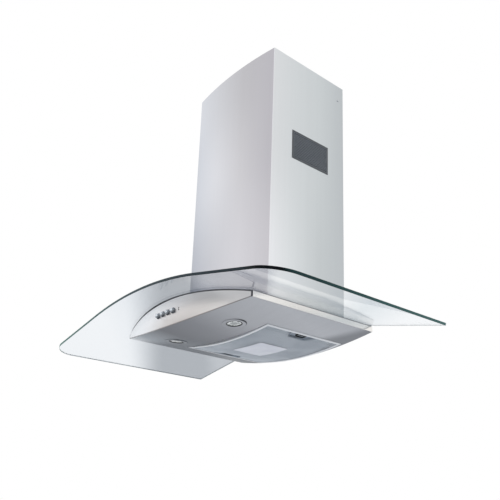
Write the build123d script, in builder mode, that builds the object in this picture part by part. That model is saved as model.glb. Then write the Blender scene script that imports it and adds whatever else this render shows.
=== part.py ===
"""Wall-mounted range hood with an arched glass canopy.

Frame: x to the hood's right as seen by someone facing the wall, the wall is the plane y = 0,
the hood stands out along -y, z is up. The origin is the middle of the four wall screws.
All lengths are in millimetres.
"""
from build123d import *
from math import acos, asin, cos, degrees, radians, sin, sqrt, tan
import os

os.makedirs("parts", exist_ok=True)

# ---------------------------------------------------------------- driving dimensions

FIT = 0.3  # gap left between pieces that seat on each other
RUN = 0.05  # radial clearance of a shaft or pin in its hole
SHEET = 1.0  # steel sheet of body, chimney and casing
TO_FRONT = (0, -1, 0)

# Glass canopy: bent in the middle, straight wings
GLASS_WIDTH = 900.0
GLASS_DEPTH = 495.0
GLASS_THICK = 6.0
GLASS_CORNER_R = 45.0
GLASS_BEND_R = 1100.0
GLASS_BEND_HALF = 211.0
GLASS_DROP = 141.0  # crown of the underside below the wall screws
GLASS_BACK = 0.5

# Steel body under the glass
BODY_WIDTH = 495.0
BODY_SIDE_DEPTH = 374.0
FASCIA_BOW = 43.0
SIDE_HEIGHT = 12.0
PAN_SAG = 25.0
GASKET_THICK = 2.0
GASKET_WIDTH = 8.0
GASKET_INSET = 1.5
FLANGE = 12.0
PAN_RIM = 6.5
SEAM = 0.6

# Push buttons and indicator lights
BUTTON_PITCH = 21.0
BUTTON_COUNT = 4
BUTTON_DROP = 31.0  # below the fascia's top edge at the middle
BUTTON_R = 5.25
BUTTON_PROUD = 4.5
BUTTON_EDGE = 1.1
BUTTON_TRAVEL = 2.5
BEZEL_R = 7.2
BEZEL_THICK = 1.6
BEZEL_WALL = 0.6
BEZEL_SLEEVE = 6.0
BEZEL_TAPER = 20.0  # degrees
STEM_R = 3.0
STEM_LENGTH = 15.0
LED_R = 1.5
LED_PITCH = 4.2
LED_PROUD = 0.5
LED_TIP = 0.6
SWITCH_HEIGHT = 18.0
SWITCH_DEPTH = 20.0

# Lamps in the pan
LAMP_X = 116.0
LAMP_Y = -315.0
LAMP_RING_R = 28.5
LAMP_RING_THICK = 1.6
LAMP_RING_HOLE_R = 18.6
LAMP_LENS_R = 16.5
LAMP_LENS_THICK = 3.0
LAMP_LENS_EDGE = 0.8
LAMP_CAN_R = 23.0
LAMP_CAN_HEIGHT = 22.0

# Grease filter and its latches
FILTER_WIDTH = 314.0
FILTER_DEPTH = 243.0
FILTER_BACK = 9.5
FILTER_THICK = 10.0
FILTER_PROUD = 1.0  # below the pan at the filter's sides
FILTER_SAG = 13.0
FILTER_GAP = 0.8
FILTER_RIM = 7.5
FILTER_SHEET = 0.8
FILTER_LEDGE = 8.0
MESH_THICK = 0.8
PLEAT_PITCH = 10.0
PLEAT_THICK = 0.5
TRAY_OUTER = 82.0
TRAY_INNER = 56.0
TRAY_WIDTH = 26.0
TRAY_DEPTH = 7.0
LATCH_LENGTH = 28.0
LATCH_WIDTH = 13.0
LATCH_THICK = 2.4
LATCH_WALL = 3.0
LATCH_CORNER_R = 5.2
LATCH_RISE = 2.0
TONGUE_WIDTH = 12.0
TONGUE_RISE = 3.6
LATCH_TRAVEL = 4.0

# Blower casing over the glass, and its wall plate
CASING_WIDTH = 268.0
CASING_DEPTH = 222.0
CASING_TOP = 150.0
CASING_FLANGE = 17.0
PLATE_THICK = 2.0
WALL_SCREWS_X = 200.0
WALL_SCREWS_Z = 140.0
WALL_HOLE_R = 4.0
LOCK_SCREWS_X = 360.0
LOCK_HOLE_R = 3.0
OPENING_WIDTH = 236.0
OPENING_DEPTH = 188.0
OPENING_BACK = 26.0
OPENING_R = 20.0
PAD_THICK = 1.7
BOLT_R = 2.5
BOLT_HEAD_R = 4.6
BOLT_HEAD = 3.5
BOLT_X = 143.0
BOLT_BACK = 32.0
BOLT_FRONT = 208.0
BUSH_WALL = 2.5

# Blower: scroll, motor, impeller
AXIS_X = -14.0
AXIS_Y = -112.0
AXIS_Z = -8.0
SCROLL_R = 104.0
SCROLL_GROWTH = 11.0
SCROLL_WIDTH = 110.0
SCROLL_WALL = 2.0
TONGUE_ANGLE = 75.0
INLET_R = 74.0
INLET_LIP = 3.0
IMPELLER_R = 88.0
IMPELLER_WIDTH = 92.0
BLADE_COUNT = 30
BLADE_DEPTH = 14.0
BLADE_THICK = 1.0
BLADE_CAMBER = 3.2
HUB_R = 14.0
HUB_NUT_R = 6.6
HUB_LENGTH = 30.0
DISC_THICK = 2.0
RING_THICK = 3.0
SHAFT_R = 4.0
SHAFT_END = 4.0  # shaft past motor and nut
SHAFT_CHAMFER = 0.8
MOTOR_R = 46.0
MOTOR_LENGTH = 68.0
MOTOR_GAP = 7.0  # motor to impeller disc
MOTOR_CHAMFER = 6.0
MOUNT_THICK = 2.0
MOUNT_GAP = 5.0  # arms to scroll
MOUNT_BOLT_R = 86.0
MOUNT_ARM = 13.0

# Duct collar and backdraft flaps
COLLAR_X = 45.0
COLLAR_R = 75.0
COLLAR_WALL = 2.0
COLLAR_HEIGHT = 50.0
COLLAR_FLANGE_R = 86.0
COLLAR_FLANGE = 2.5
FLAP_THICK = 1.5
FLAP_GAP = 1.4
FLAP_OFFSET = 3.5
FLAP_PIN_R = 1.5
FLAP_RISE = 18.0
FLAP_LEDGE = 3.0

# Wiring on the casing's roof
JUNCTION_WIDTH = 80.0
JUNCTION_DEPTH = 70.0
JUNCTION_HEIGHT = 38.0
JUNCTION_X = -88.0
JUNCTION_Y = -57.0
JUNCTION_WALL = 2.0
JUNCTION_CORNER_R = 4.0
GLAND_R = 8.0
GLAND_BORE_R = 4.0
GLAND_LENGTH = 18.0
GLAND_NUT = 6.0
GLAND_TAPER = 6.0  # degrees
CAPACITOR_WIDTH = 47.0
CAPACITOR_DEPTH = 19.0
CAPACITOR_HEIGHT = 34.0
CAPACITOR_EDGE = 2.0
CAPACITOR_Y = -170.0

# Chimney, its vents and its wall bracket
CHIMNEY_WIDTH = 317.0
CHIMNEY_DEPTH = 255.0
CHIMNEY_BOW = 12.5
CHIMNEY_TOP = 535.0
CHIMNEY_BACK = 0.5
CHIMNEY_FLOAT = 0.8  # lower edge over the glass
CHIMNEY_EDGE_R = 2.5
CHIMNEY_RETURN = 18.0
VENT_WIDTH = 128.0
VENT_HEIGHT = 79.0
VENT_Y = -124.3
VENT_DROP = 249.0  # centre below the chimney's top
VENT_RIM = 3.0  # overlap on the chimney's sheet
VENT_FRAME = 3.0
VENT_RIM_THICK = 0.6
VENT_DEPTH = 6.0
SLAT_PITCH = 4.5
SLAT_THICK = 1.4
BRACKET_HEIGHT = 40.0
BRACKET_THICK = 1.5
BRACKET_DROP = 45.0  # centre below the chimney's top
BRACKET_SCREWS_X = 220.0
BRACKET_HOLE_R = 3.0
BRACKET_STEP = 8.0
BRACKET_EAR = 35.0
SIDE_SCREW_Y = -20.0
SIDE_SCREW_R = 2.0
SIDE_SCREW_HEAD_R = 3.6
SIDE_SCREW_HEAD = 1.2
SIDE_SCREW_TAPER = 30.0  # degrees
SIDE_SCREW_LENGTH = 8.0

# ---------------------------------------------------------------- shared curves

BEND_ANGLE = asin(GLASS_BEND_HALF / GLASS_BEND_R)


def bow_radius(chord, rise):
    """Radius of the arc that rises by rise over a chord."""
    return (chord**2 / 4 + rise**2) / (2 * rise)


class Arch:
    """Height curve parallel to the glass's underside, rise above it, seen from the front."""

    def __init__(self, rise=0.0):
        self.radius = GLASS_BEND_R + rise
        self.knee = self.radius * sin(BEND_ANGLE)
        self.centre = -GLASS_DROP - GLASS_BEND_R

    def z(self, x):
        if abs(x) <= self.knee:
            return self.centre + sqrt(self.radius**2 - x * x)
        knee_z = self.centre + self.radius * cos(BEND_ANGLE)
        return knee_z - (abs(x) - self.knee) * tan(BEND_ANGLE)

    def point(self, x):
        return (x, self.z(x))

    def draw(self, half):
        bent = min(half, self.knee)
        ThreePointArc(self.point(-bent), self.point(0), self.point(bent))
        if half > bent:
            Line(self.point(-half), self.point(-bent))
            Line(self.point(bent), self.point(half))

    def plane(self, x, y):
        """Plane on the curve at x and y, its z axis square to the curve."""
        tilt = asin(max(-self.knee, min(self.knee, x)) / self.radius)
        along = (cos(tilt), 0, -sin(tilt))
        return Plane(origin=(x, y, self.z(x)), x_dir=along, z_dir=(sin(tilt), 0, cos(tilt)))


class Bowl:
    """Height curve that sags to low at x = 0 with a given radius, seen from the front."""

    def __init__(self, radius, low):
        self.radius = radius
        self.low = low

    def z(self, x):
        return self.low + self.radius - sqrt(self.radius**2 - x * x)

    def point(self, x):
        return (x, self.z(x))

    def draw(self, half):
        ThreePointArc(self.point(-half), self.point(0), self.point(half))

    def above(self, rise):
        return Bowl(self.radius - rise, self.low + rise)

    def tilt(self, x):
        return asin(x / self.radius)

    def plane(self, x, y):
        """Plane on the curve at x and y: x axis along the curve, z axis up and square to it."""
        tilt = self.tilt(x)
        along = (cos(tilt), 0, sin(tilt))
        return Plane(origin=(x, y, self.z(x)), x_dir=along, z_dir=(-sin(tilt), 0, cos(tilt)))


class Level:
    """Flat height curve."""

    def __init__(self, height):
        self.height = height

    def z(self, x):
        return self.height

    def draw(self, half):
        Line((-half, self.height), (half, self.height))


def section(half, low, high):
    """Front section from -half to half, between two height curves."""
    with BuildSketch(Plane.XZ) as sketch:
        with BuildLine():
            low.draw(half)
            high.draw(half)
            for x in (-half, half):
                Line((x, low.z(x)), (x, high.z(x)))
        make_face()
    return sketch.sketch


def bowed_outline(width, depth, bow, inset=0.0, back=0.0):
    """Plan against the wall with a bowed front, moved in by inset, its rear edge at -back."""
    radius = bow_radius(width, bow) - inset
    centre = bow_radius(width, bow) - depth - bow
    half = width / 2 - inset
    side = centre - sqrt(radius**2 - half**2)
    with BuildSketch() as sketch:
        with BuildLine():
            Polyline((-half, side), (-half, -back), (half, -back), (half, side))
            ThreePointArc((-half, side), (0, centre - radius), (half, side))
        make_face()
    return sketch.sketch


def box_outline(x_low, x_high, y_low, y_high, corner=0.0):
    """Rectangular plan between two x and two y values."""
    with BuildSketch() as sketch:
        with Locations(((x_low + x_high) / 2, (y_low + y_high) / 2)):
            Rectangle(x_high - x_low, y_high - y_low)
        if corner > 0:
            fillet(sketch.vertices(), corner)
    return sketch.sketch


def fascia_y(x, inset=0.0):
    """Front of the body at x, moved in by inset."""
    radius = bow_radius(BODY_WIDTH, FASCIA_BOW)
    return radius - BODY_SIDE_DEPTH - FASCIA_BOW - sqrt((radius - inset) ** 2 - x * x)


def fascia_band(depth, half):
    """Plan strip behind the bowed front, as deep as depth, from -half to half."""
    with BuildSketch() as sketch:
        with BuildLine():
            for inset in (0.0, depth):
                ThreePointArc(
                    (-half, fascia_y(half, inset)), (0, fascia_y(0, inset)), (half, fascia_y(half, inset))
                )
            for x in (-half, half):
                Line((x, fascia_y(half)), (x, fascia_y(half, depth)))
        make_face()
    return sketch.sketch


CUT_BELOW = 150.0  # how far the plan outlines are drawn out under the glass's lowest edge
CUT_PAST = 50.0  # how far they and the height curves run past the hood's top and front
SPAN_LOW = -GLASS_DROP - CUT_BELOW
SPAN = CHIMNEY_TOP - SPAN_LOW + CUT_PAST
REACH = GLASS_DEPTH + CUT_PAST


def curved_plate(outline, low, high, hole=None):
    """What lies inside a plan outline, and outside its hole, between two height curves."""
    half = outline.bounding_box().max.X + 1.0
    with BuildPart() as plate:
        with BuildSketch(Plane.XY.offset(SPAN_LOW)):
            add(outline)
            if hole is not None:
                add(hole, mode=Mode.SUBTRACT)
        extrude(amount=SPAN)
        extrude(section(half, low, high), amount=REACH, dir=TO_FRONT, mode=Mode.INTERSECT)
    return plate.part


# Heights that several pieces share
RIM_GAP = GASKET_THICK + 2 * FIT  # glass to the panels' flanges
GLASS_UNDER = Arch()
RIM = Arch(-RIM_GAP)
RIM_UNDER = Arch(-RIM_GAP - SHEET)
PLATE_TOP_RISE = -RIM_GAP - SHEET - FIT
PAN_LOW = RIM.z(BODY_WIDTH / 2) - SIDE_HEIGHT - PAN_SAG
PAN = Bowl(bow_radius(BODY_WIDTH, PAN_SAG), PAN_LOW)
FILTER_LOW = PAN.z(FILTER_WIDTH / 2) - FILTER_PROUD - FILTER_SAG
FILTER = Bowl(bow_radius(FILTER_WIDTH, FILTER_SAG), FILTER_LOW)
FLANGE_RISE = GLASS_THICK + FIT + PAD_THICK + FIT  # casing flange over the glass's underside

parts = {}


def keep(piece, label):
    """Give a finished piece its name and write it."""
    piece.label = label
    parts[label] = piece
    export_step(piece, f"parts/{label}.step")


def keep_pair(right, name):
    """Write a piece made for the hood's right side, and its mirror image for the left."""
    keep(right, f"{name}_right")
    keep(right.mirror(Plane.YZ), f"{name}_left")


# ---------------------------------------------------------------- glass canopy

BOLT_AXES = [GLASS_UNDER.plane(x, -y) for x in (-BOLT_X, BOLT_X) for y in (BOLT_BACK, BOLT_FRONT)]
BUSH_R = BOLT_R + FIT + BUSH_WALL


def bolt_places(rise):
    """Places on the four clamp bolts' axes, rise above the glass's underside."""
    return Locations(*[axis.offset(rise) for axis in BOLT_AXES])


opening = box_outline(
    -OPENING_WIDTH / 2, OPENING_WIDTH / 2, -OPENING_BACK - OPENING_DEPTH, -OPENING_BACK, OPENING_R
)

with BuildPart() as glass_canopy:
    top = Arch(GLASS_THICK)
    half = GLASS_WIDTH / 2
    inner_half = half - GLASS_THICK * sin(BEND_ANGLE)
    with BuildSketch(Plane.XZ.offset(GLASS_BACK)):
        with BuildLine():
            GLASS_UNDER.draw(inner_half)
            top.draw(half)
            for side in (-1, 1):
                Line(GLASS_UNDER.point(side * inner_half), top.point(side * half))
        make_face()
    extrude(amount=GLASS_DEPTH - GLASS_BACK)
    front_edges = glass_canopy.faces().sort_by(Axis.Y)[0].edges()
    fillet([front_edges.sort_by(Axis.X)[0], front_edges.sort_by(Axis.X)[-1]], GLASS_CORNER_R)
    with BuildSketch(Plane.XY.offset(SPAN_LOW)):
        add(opening)
    extrude(amount=SPAN, mode=Mode.SUBTRACT)
    with bolt_places(2 * GLASS_THICK):
        Hole(BUSH_R + FIT, depth=3 * GLASS_THICK)
keep(glass_canopy.part, "glass_canopy")

# ---------------------------------------------------------------- body panels under the glass

HALF = BODY_WIDTH / 2
fascia_flange = curved_plate(fascia_band(FLANGE, HALF - SHEET - FIT), RIM_UNDER, RIM)
BUTTON_Z = RIM.z(0) - BUTTON_DROP
ROW_X = [(i - BUTTON_COUNT / 2) * BUTTON_PITCH for i in range(BUTTON_COUNT + 1)]
BUTTON_XS = ROW_X[:BUTTON_COUNT]
LED_X = ROW_X[BUTTON_COUNT]
SLEEVE_R = BUTTON_R + FIT + BEZEL_WALL

fascia_sheet = curved_plate(fascia_band(SHEET, HALF), PAN, RIM)
with BuildPart() as front_fascia:
    add(fascia_sheet)
    add(fascia_flange)
    with BuildSketch(Plane.XZ):
        with Locations(*[(x, BUTTON_Z) for x in BUTTON_XS]):
            Circle(SLEEVE_R + FIT)
        with Locations(*[(LED_X, BUTTON_Z + side * LED_PITCH / 2) for side in (-1, 1)]):
            Circle(LED_R + FIT / 2)
    extrude(amount=REACH, mode=Mode.SUBTRACT)
keep(front_fascia.part, "front_fascia")

SIDE_FRONT = fascia_y(HALF, SHEET) + SEAM
side_strip = curved_plate(box_outline(HALF - SHEET, HALF, SIDE_FRONT, 0), PAN, RIM)
side_lip = curved_plate(
    box_outline(HALF - FLANGE, HALF, fascia_y(HALF, FLANGE) + SEAM, -FLANGE - FIT), RIM_UNDER, RIM
)
with BuildPart() as side_panel:
    add(side_strip)
    add(side_lip)
keep_pair(side_panel.part, "side_panel")

LOCK_Z = (PAN.z(LOCK_SCREWS_X / 2) + RIM_UNDER.z(LOCK_SCREWS_X / 2)) / 2
rear_half = HALF - SHEET - FIT
rear_sheet = curved_plate(box_outline(-rear_half, rear_half, -SHEET, 0), PAN, RIM)
rear_lip = curved_plate(box_outline(-rear_half, rear_half, -FLANGE, 0), RIM_UNDER, RIM)
with BuildPart() as rear_panel:
    add(rear_sheet)
    add(rear_lip)
    with BuildSketch(Plane.XZ):
        with Locations((-LOCK_SCREWS_X / 2, LOCK_Z), (LOCK_SCREWS_X / 2, LOCK_Z)):
            Circle(LOCK_HOLE_R)
    extrude(amount=FLANGE, mode=Mode.SUBTRACT)
keep(rear_panel.part, "rear_panel")

PLATE_INSET = SHEET + 2 * FIT
top_sheet = curved_plate(
    bowed_outline(BODY_WIDTH, BODY_SIDE_DEPTH, FASCIA_BOW, PLATE_INSET, PLATE_INSET),
    Arch(PLATE_TOP_RISE - SHEET),
    Arch(PLATE_TOP_RISE),
    opening,
)
with BuildPart() as top_plate:
    add(top_sheet)
    with bolt_places(PLATE_TOP_RISE + SHEET):
        Hole(BOLT_R + FIT, depth=4 * SHEET)
keep(top_plate.part, "top_plate")

gasket = curved_plate(
    bowed_outline(BODY_WIDTH, BODY_SIDE_DEPTH, FASCIA_BOW, GASKET_INSET, GASKET_INSET),
    Arch(-FIT - GASKET_THICK),
    Arch(-FIT),
    bowed_outline(
        BODY_WIDTH, BODY_SIDE_DEPTH, FASCIA_BOW, GASKET_INSET + GASKET_WIDTH, GASKET_INSET + GASKET_WIDTH
    ),
)
keep(gasket, "glass_gasket")

# ---------------------------------------------------------------- pan with filter well and lamp holes

WELL_HALF = FILTER_WIDTH / 2 + FILTER_GAP
WELL_BACK = -FILTER_BACK + FILTER_GAP
WELL_FRONT = -FILTER_BACK - FILTER_DEPTH - FILTER_GAP
well = box_outline(-WELL_HALF, WELL_HALF, WELL_FRONT, WELL_BACK)
well_outside = box_outline(-WELL_HALF - SHEET, WELL_HALF + SHEET, WELL_FRONT - SHEET, WELL_BACK + SHEET)
well_inside = box_outline(
    -WELL_HALF + FILTER_LEDGE, WELL_HALF - FILTER_LEDGE, WELL_FRONT + FILTER_LEDGE, WELL_BACK - FILTER_LEDGE
)
PAN_INSET = SHEET + FIT
pan_outline = bowed_outline(BODY_WIDTH, BODY_SIDE_DEPTH, FASCIA_BOW, PAN_INSET, PAN_INSET)
pan_inside = bowed_outline(BODY_WIDTH, BODY_SIDE_DEPTH, FASCIA_BOW, PAN_INSET + SHEET, PAN_INSET + SHEET)
LEDGE_RISE = FILTER_THICK + FIT

LATCH_X = FILTER_WIDTH / 2 - FILTER_RIM - TRAY_WIDTH / 2
LATCH_Y = -FILTER_BACK - FILTER_DEPTH / 2
LATCH_PLANE = FILTER.plane(LATCH_X, LATCH_Y)
LATCH_LEFT_PLANE = FILTER.plane(-LATCH_X, LATCH_Y)
SLOT_HEIGHT = LATCH_THICK + 2 * FIT
SLOT_WIDTH = TONGUE_WIDTH + 2 * FIT
SLOT_REACH = WELL_HALF + SHEET - LATCH_X + FILTER_RIM


def cut_latch_slots():
    """Clear the way of both latch tongues, from the trays out past the well's wall."""
    for place in (LATCH_PLANE, LATCH_LEFT_PLANE):
        with Locations(place.offset(TONGUE_RISE + LATCH_THICK / 2)):
            Box(2 * SLOT_REACH, SLOT_WIDTH, SLOT_HEIGHT, mode=Mode.SUBTRACT)


pan_skin = curved_plate(pan_outline, PAN, PAN.above(SHEET), well)
pan_rim = curved_plate(pan_outline, PAN, PAN.above(PAN_RIM), pan_inside)
well_wall = curved_plate(well_outside, PAN, FILTER.above(LEDGE_RISE + SHEET), well)
well_ledge = curved_plate(
    well_outside, FILTER.above(LEDGE_RISE), FILTER.above(LEDGE_RISE + SHEET), well_inside
)
LAMP = PAN.plane(LAMP_X, LAMP_Y)
LAMP_LEFT = PAN.plane(-LAMP_X, LAMP_Y)
LAMP_SLEEVE_R = LAMP_CAN_R + 2 * FIT + SHEET

with BuildPart() as bottom_pan:
    add(pan_skin)
    add(pan_rim)
    add(well_wall)
    add(well_ledge)
    with Locations(LAMP.offset(3 * SHEET), LAMP_LEFT.offset(3 * SHEET)):
        Hole(LAMP_SLEEVE_R + FIT, depth=6 * SHEET)
    cut_latch_slots()
keep(bottom_pan.part, "bottom_pan")

# ---------------------------------------------------------------- grease filter

filter_outline = box_outline(
    -FILTER_WIDTH / 2, FILTER_WIDTH / 2, -FILTER_BACK - FILTER_DEPTH, -FILTER_BACK
)


def filter_inset(inset):
    """Filter's plan moved in by inset."""
    half = FILTER_WIDTH / 2 - inset
    return box_outline(-half, half, -FILTER_BACK - FILTER_DEPTH + inset, -FILTER_BACK - inset)


frame_body = curved_plate(filter_outline, FILTER, FILTER.above(FILTER_THICK), filter_inset(FILTER_RIM))
frame_groove = curved_plate(
    filter_inset(FILTER_SHEET), FILTER.above(FILTER_SHEET), FILTER.above(FILTER_THICK - FILTER_SHEET)
)


def tray_outline(margin):
    """Plan of the latch tray in the latch's own plane: a trapezium, longer towards the rim."""
    inner = -TRAY_WIDTH / 2 - margin
    outer = TRAY_WIDTH / 2 + margin
    with BuildSketch() as sketch:
        with BuildLine():
            Polyline(
                (inner, -TRAY_INNER / 2 - margin),
                (outer, -TRAY_OUTER / 2 - margin),
                (outer, TRAY_OUTER / 2 + margin),
                (inner, TRAY_INNER / 2 + margin),
                close=True,
            )
        make_face()
    return sketch.sketch


with BuildPart() as filter_frame:
    add(frame_body)
    add(frame_groove, mode=Mode.SUBTRACT)
    cut_latch_slots()
keep(filter_frame.part, "filter_frame")


def mesh_sheet(rise):
    """One expanded sheet held in the frame's groove, its lower side at rise."""
    return curved_plate(filter_inset(FILTER_SHEET + FIT), FILTER.above(rise), FILTER.above(rise + MESH_THICK))


LOWER_MESH = FILTER_SHEET + FIT
UPPER_MESH = FILTER_THICK - FILTER_SHEET - FIT - MESH_THICK
keep(mesh_sheet(UPPER_MESH), "filter_mesh_upper")

tray_hole = tray_outline(FIT)
lower_sheet = mesh_sheet(LOWER_MESH)
with BuildPart() as filter_mesh_lower:
    add(lower_sheet)
    for place, outline in ((LATCH_PLANE, tray_hole), (LATCH_LEFT_PLANE, tray_hole.mirror(Plane.YZ))):
        with BuildSketch(place):
            add(outline)
        extrude(amount=TRAY_DEPTH, mode=Mode.SUBTRACT)
keep(filter_mesh_lower.part, "filter_mesh_lower")

pleat_low = FILTER.above(LOWER_MESH + MESH_THICK + FIT)
pleat_high = FILTER.above(UPPER_MESH - FIT - PLEAT_THICK)
pleat_half = LATCH_X - TRAY_WIDTH / 2 - FILTER_SHEET
folds = 2 * int(pleat_half / PLEAT_PITCH)
with BuildPart() as filter_core:
    with BuildSketch(Plane.XZ.offset(FILTER_BACK + LOWER_MESH)):
        with BuildLine():
            zigzag = [
                (pleat_low if i % 2 else pleat_high).point((i - folds) * PLEAT_PITCH / 2)
                for i in range(2 * folds + 1)
            ]
            returning = [(x, z + PLEAT_THICK) for x, z in reversed(zigzag)]
            Polyline(*zigzag, *returning, close=True)
        make_face()
    extrude(amount=FILTER_DEPTH - 2 * LOWER_MESH)
keep(filter_core.part, "filter_core")

with BuildPart() as latch_tray:
    with BuildSketch(LATCH_PLANE):
        add(tray_outline(0))
    extrude(amount=TRAY_DEPTH)
    with BuildSketch(LATCH_PLANE):
        add(tray_outline(-FILTER_SHEET))
    extrude(amount=TRAY_DEPTH - FILTER_SHEET, mode=Mode.SUBTRACT)
    with Locations(LATCH_PLANE.offset(TONGUE_RISE + LATCH_THICK / 2)):
        with Locations((TRAY_WIDTH / 2, 0, 0)):
            Box(TRAY_WIDTH / 2, SLOT_WIDTH, SLOT_HEIGHT, mode=Mode.SUBTRACT)
keep_pair(latch_tray.part, "latch_tray")

TONGUE_REACH = (WELL_HALF - LATCH_X) / cos(FILTER.tilt(LATCH_X)) - 2 * FIT
LATCH_CENTRE = TRAY_WIDTH / 2 - FILTER_SHEET - LATCH_TRAVEL - FIT - LATCH_WIDTH / 2
with BuildPart() as latch:
    with BuildSketch(LATCH_PLANE.offset(LATCH_RISE)):
        with Locations((LATCH_CENTRE, 0)):
            Rectangle(LATCH_WIDTH, LATCH_LENGTH)
    extrude(amount=LATCH_THICK)
    corners = latch.edges().filter_by(Axis(LATCH_PLANE.origin, LATCH_PLANE.z_dir))
    fillet(corners.sort_by(Axis.X)[:2], LATCH_CORNER_R)
    with BuildSketch(LATCH_PLANE.offset(LATCH_RISE)):
        with Locations((LATCH_CENTRE, 0)):
            SlotOverall(LATCH_LENGTH - 2 * LATCH_WALL, LATCH_WIDTH - 2 * LATCH_WALL, rotation=90)
    extrude(amount=LATCH_THICK, mode=Mode.SUBTRACT)
    tongue_start = LATCH_CENTRE + LATCH_WIDTH / 2 - LATCH_WALL
    with BuildSketch(LATCH_PLANE.offset(TONGUE_RISE)):
        with Locations(((tongue_start + TONGUE_REACH) / 2, 0)):
            Rectangle(TONGUE_REACH - tongue_start, TONGUE_WIDTH)
    extrude(amount=LATCH_THICK)
keep_pair(latch.part, "latch")

# ---------------------------------------------------------------- lamps

LAMP_SECTION = Plane(origin=LAMP.origin, x_dir=LAMP.x_dir, z_dir=LAMP.x_dir.cross(LAMP.z_dir))
LAMP_AXIS = Axis(LAMP.origin, LAMP.z_dir)

ring_under = -FIT / 2
with BuildPart() as lamp_bezel:
    with BuildSketch(LAMP_SECTION):
        with BuildLine():
            Polyline(
                (LAMP_RING_HOLE_R, ring_under),
                (LAMP_RING_HOLE_R, ring_under - LAMP_RING_THICK),
                (LAMP_RING_R - LAMP_RING_THICK, ring_under - LAMP_RING_THICK),
                (LAMP_RING_R, ring_under),
                (LAMP_SLEEVE_R, ring_under),
                (LAMP_SLEEVE_R, FLANGE),
                (LAMP_SLEEVE_R - SHEET, FLANGE),
                (LAMP_SLEEVE_R - SHEET, ring_under),
                close=True,
            )
        make_face()
    revolve(axis=LAMP_AXIS)
keep_pair(lamp_bezel.part, "lamp_bezel")

HOLDER_FACE = ring_under - LAMP_RING_THICK / 2
with BuildPart() as lamp_holder:
    with BuildSketch(LAMP_SECTION):
        with BuildLine():
            Polyline(
                (0, HOLDER_FACE + LAMP_LENS_THICK + FIT),
                (LAMP_LENS_R + FIT, HOLDER_FACE + LAMP_LENS_THICK + FIT),
                (LAMP_LENS_R + FIT, HOLDER_FACE),
                (LAMP_RING_HOLE_R - FIT, HOLDER_FACE),
                (LAMP_RING_HOLE_R - FIT, FIT),
                (LAMP_CAN_R, FIT),
                (LAMP_CAN_R, LAMP_CAN_HEIGHT),
                (0, LAMP_CAN_HEIGHT),
                close=True,
            )
        make_face()
    revolve(axis=LAMP_AXIS)
keep_pair(lamp_holder.part, "lamp_holder")

with BuildPart() as lamp_lens:
    with BuildSketch(LAMP.offset(HOLDER_FACE)):
        Circle(LAMP_LENS_R)
    extrude(amount=LAMP_LENS_THICK)
    chamfer(lamp_lens.edges().sort_by(LAMP_AXIS)[0], LAMP_LENS_EDGE)
keep_pair(lamp_lens.part, "lamp_lens")

# ---------------------------------------------------------------- buttons, bezels, lights, switch


def bezel_seat(x):
    """Rear plane of a bezel's flange at x: just ahead of the bowed fascia."""
    nearest = max(0.0, abs(x) - BEZEL_R)
    return fascia_y(nearest) - FIT / 2


ROW_END = abs(ROW_X[0])
SWITCH_FACE = bezel_seat(ROW_END) + BEZEL_SLEEVE + BUTTON_TRAVEL + 2 * FIT
BOSS_X = ROW_END + BEZEL_R + STEM_R + FIT
SWITCH_WIDTH = 2 * (BOSS_X + STEM_R)

with BuildPart() as button_bezels:
    for x in BUTTON_XS:
        seat = Plane(origin=(x, bezel_seat(x), BUTTON_Z), x_dir=(1, 0, 0), z_dir=(0, -1, 0))
        with BuildSketch(seat):
            Circle(BEZEL_R)
        extrude(amount=BEZEL_THICK, taper=BEZEL_TAPER)
        with BuildSketch(seat):
            Circle(SLEEVE_R)
        extrude(amount=-BEZEL_SLEEVE)
        with Locations(seat.offset(BEZEL_THICK)):
            Hole(BUTTON_R + FIT, depth=BEZEL_THICK + BEZEL_SLEEVE)
keep(button_bezels.part, "button_bezels")

for number, x in enumerate(BUTTON_XS, start=1):
    front = bezel_seat(x) - BEZEL_THICK - BUTTON_PROUD
    cap_back = SWITCH_FACE - BUTTON_TRAVEL - FIT
    face = Plane(origin=(x, front, BUTTON_Z), x_dir=(1, 0, 0), z_dir=(0, 1, 0))
    with BuildPart() as button:
        with BuildSketch(face):
            Circle(BUTTON_R)
        extrude(amount=cap_back - front)
        chamfer(button.edges().sort_by(Axis.Y)[0], BUTTON_EDGE)
        with BuildSketch(face.offset(cap_back - front)):
            Circle(STEM_R)
        extrude(amount=STEM_LENGTH)
    keep(button.part, f"button_{number}")

with BuildPart() as switch_block:
    with BuildSketch(Plane.XZ.offset(-SWITCH_FACE)):
        with Locations((0, BUTTON_Z)):
            RectangleRounded(SWITCH_WIDTH, SWITCH_HEIGHT, STEM_R)
    extrude(amount=-SWITCH_DEPTH)
    with BuildSketch(Plane.XZ.offset(-SWITCH_FACE)):
        with Locations((-BOSS_X, BUTTON_Z), (BOSS_X, BUTTON_Z)):
            Circle(STEM_R)
    extrude(amount=SWITCH_FACE - fascia_y(BOSS_X + STEM_R, SHEET) - FIT)
    with BuildSketch(Plane.XZ.offset(-SWITCH_FACE)):
        with Locations(*[(x, BUTTON_Z) for x in BUTTON_XS]):
            Circle(STEM_R + FIT)
    extrude(amount=-SWITCH_DEPTH + FIT, mode=Mode.SUBTRACT)
keep(switch_block.part, "switch_block")

with BuildPart() as indicator_leds:
    led_front = fascia_y(LED_X) - LED_PROUD
    with BuildSketch(Plane.XZ.offset(-led_front)):
        with Locations(*[(LED_X, BUTTON_Z + side * LED_PITCH / 2) for side in (-1, 1)]):
            Circle(LED_R)
    extrude(amount=-(SWITCH_FACE - led_front - FIT))
    tips = indicator_leds.faces().sort_by(Axis.Y)[:2].edges()
    chamfer(tips, LED_TIP)
keep(indicator_leds.part, "indicator_leds")

# ---------------------------------------------------------------- pads, bushes and clamp bolts

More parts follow.
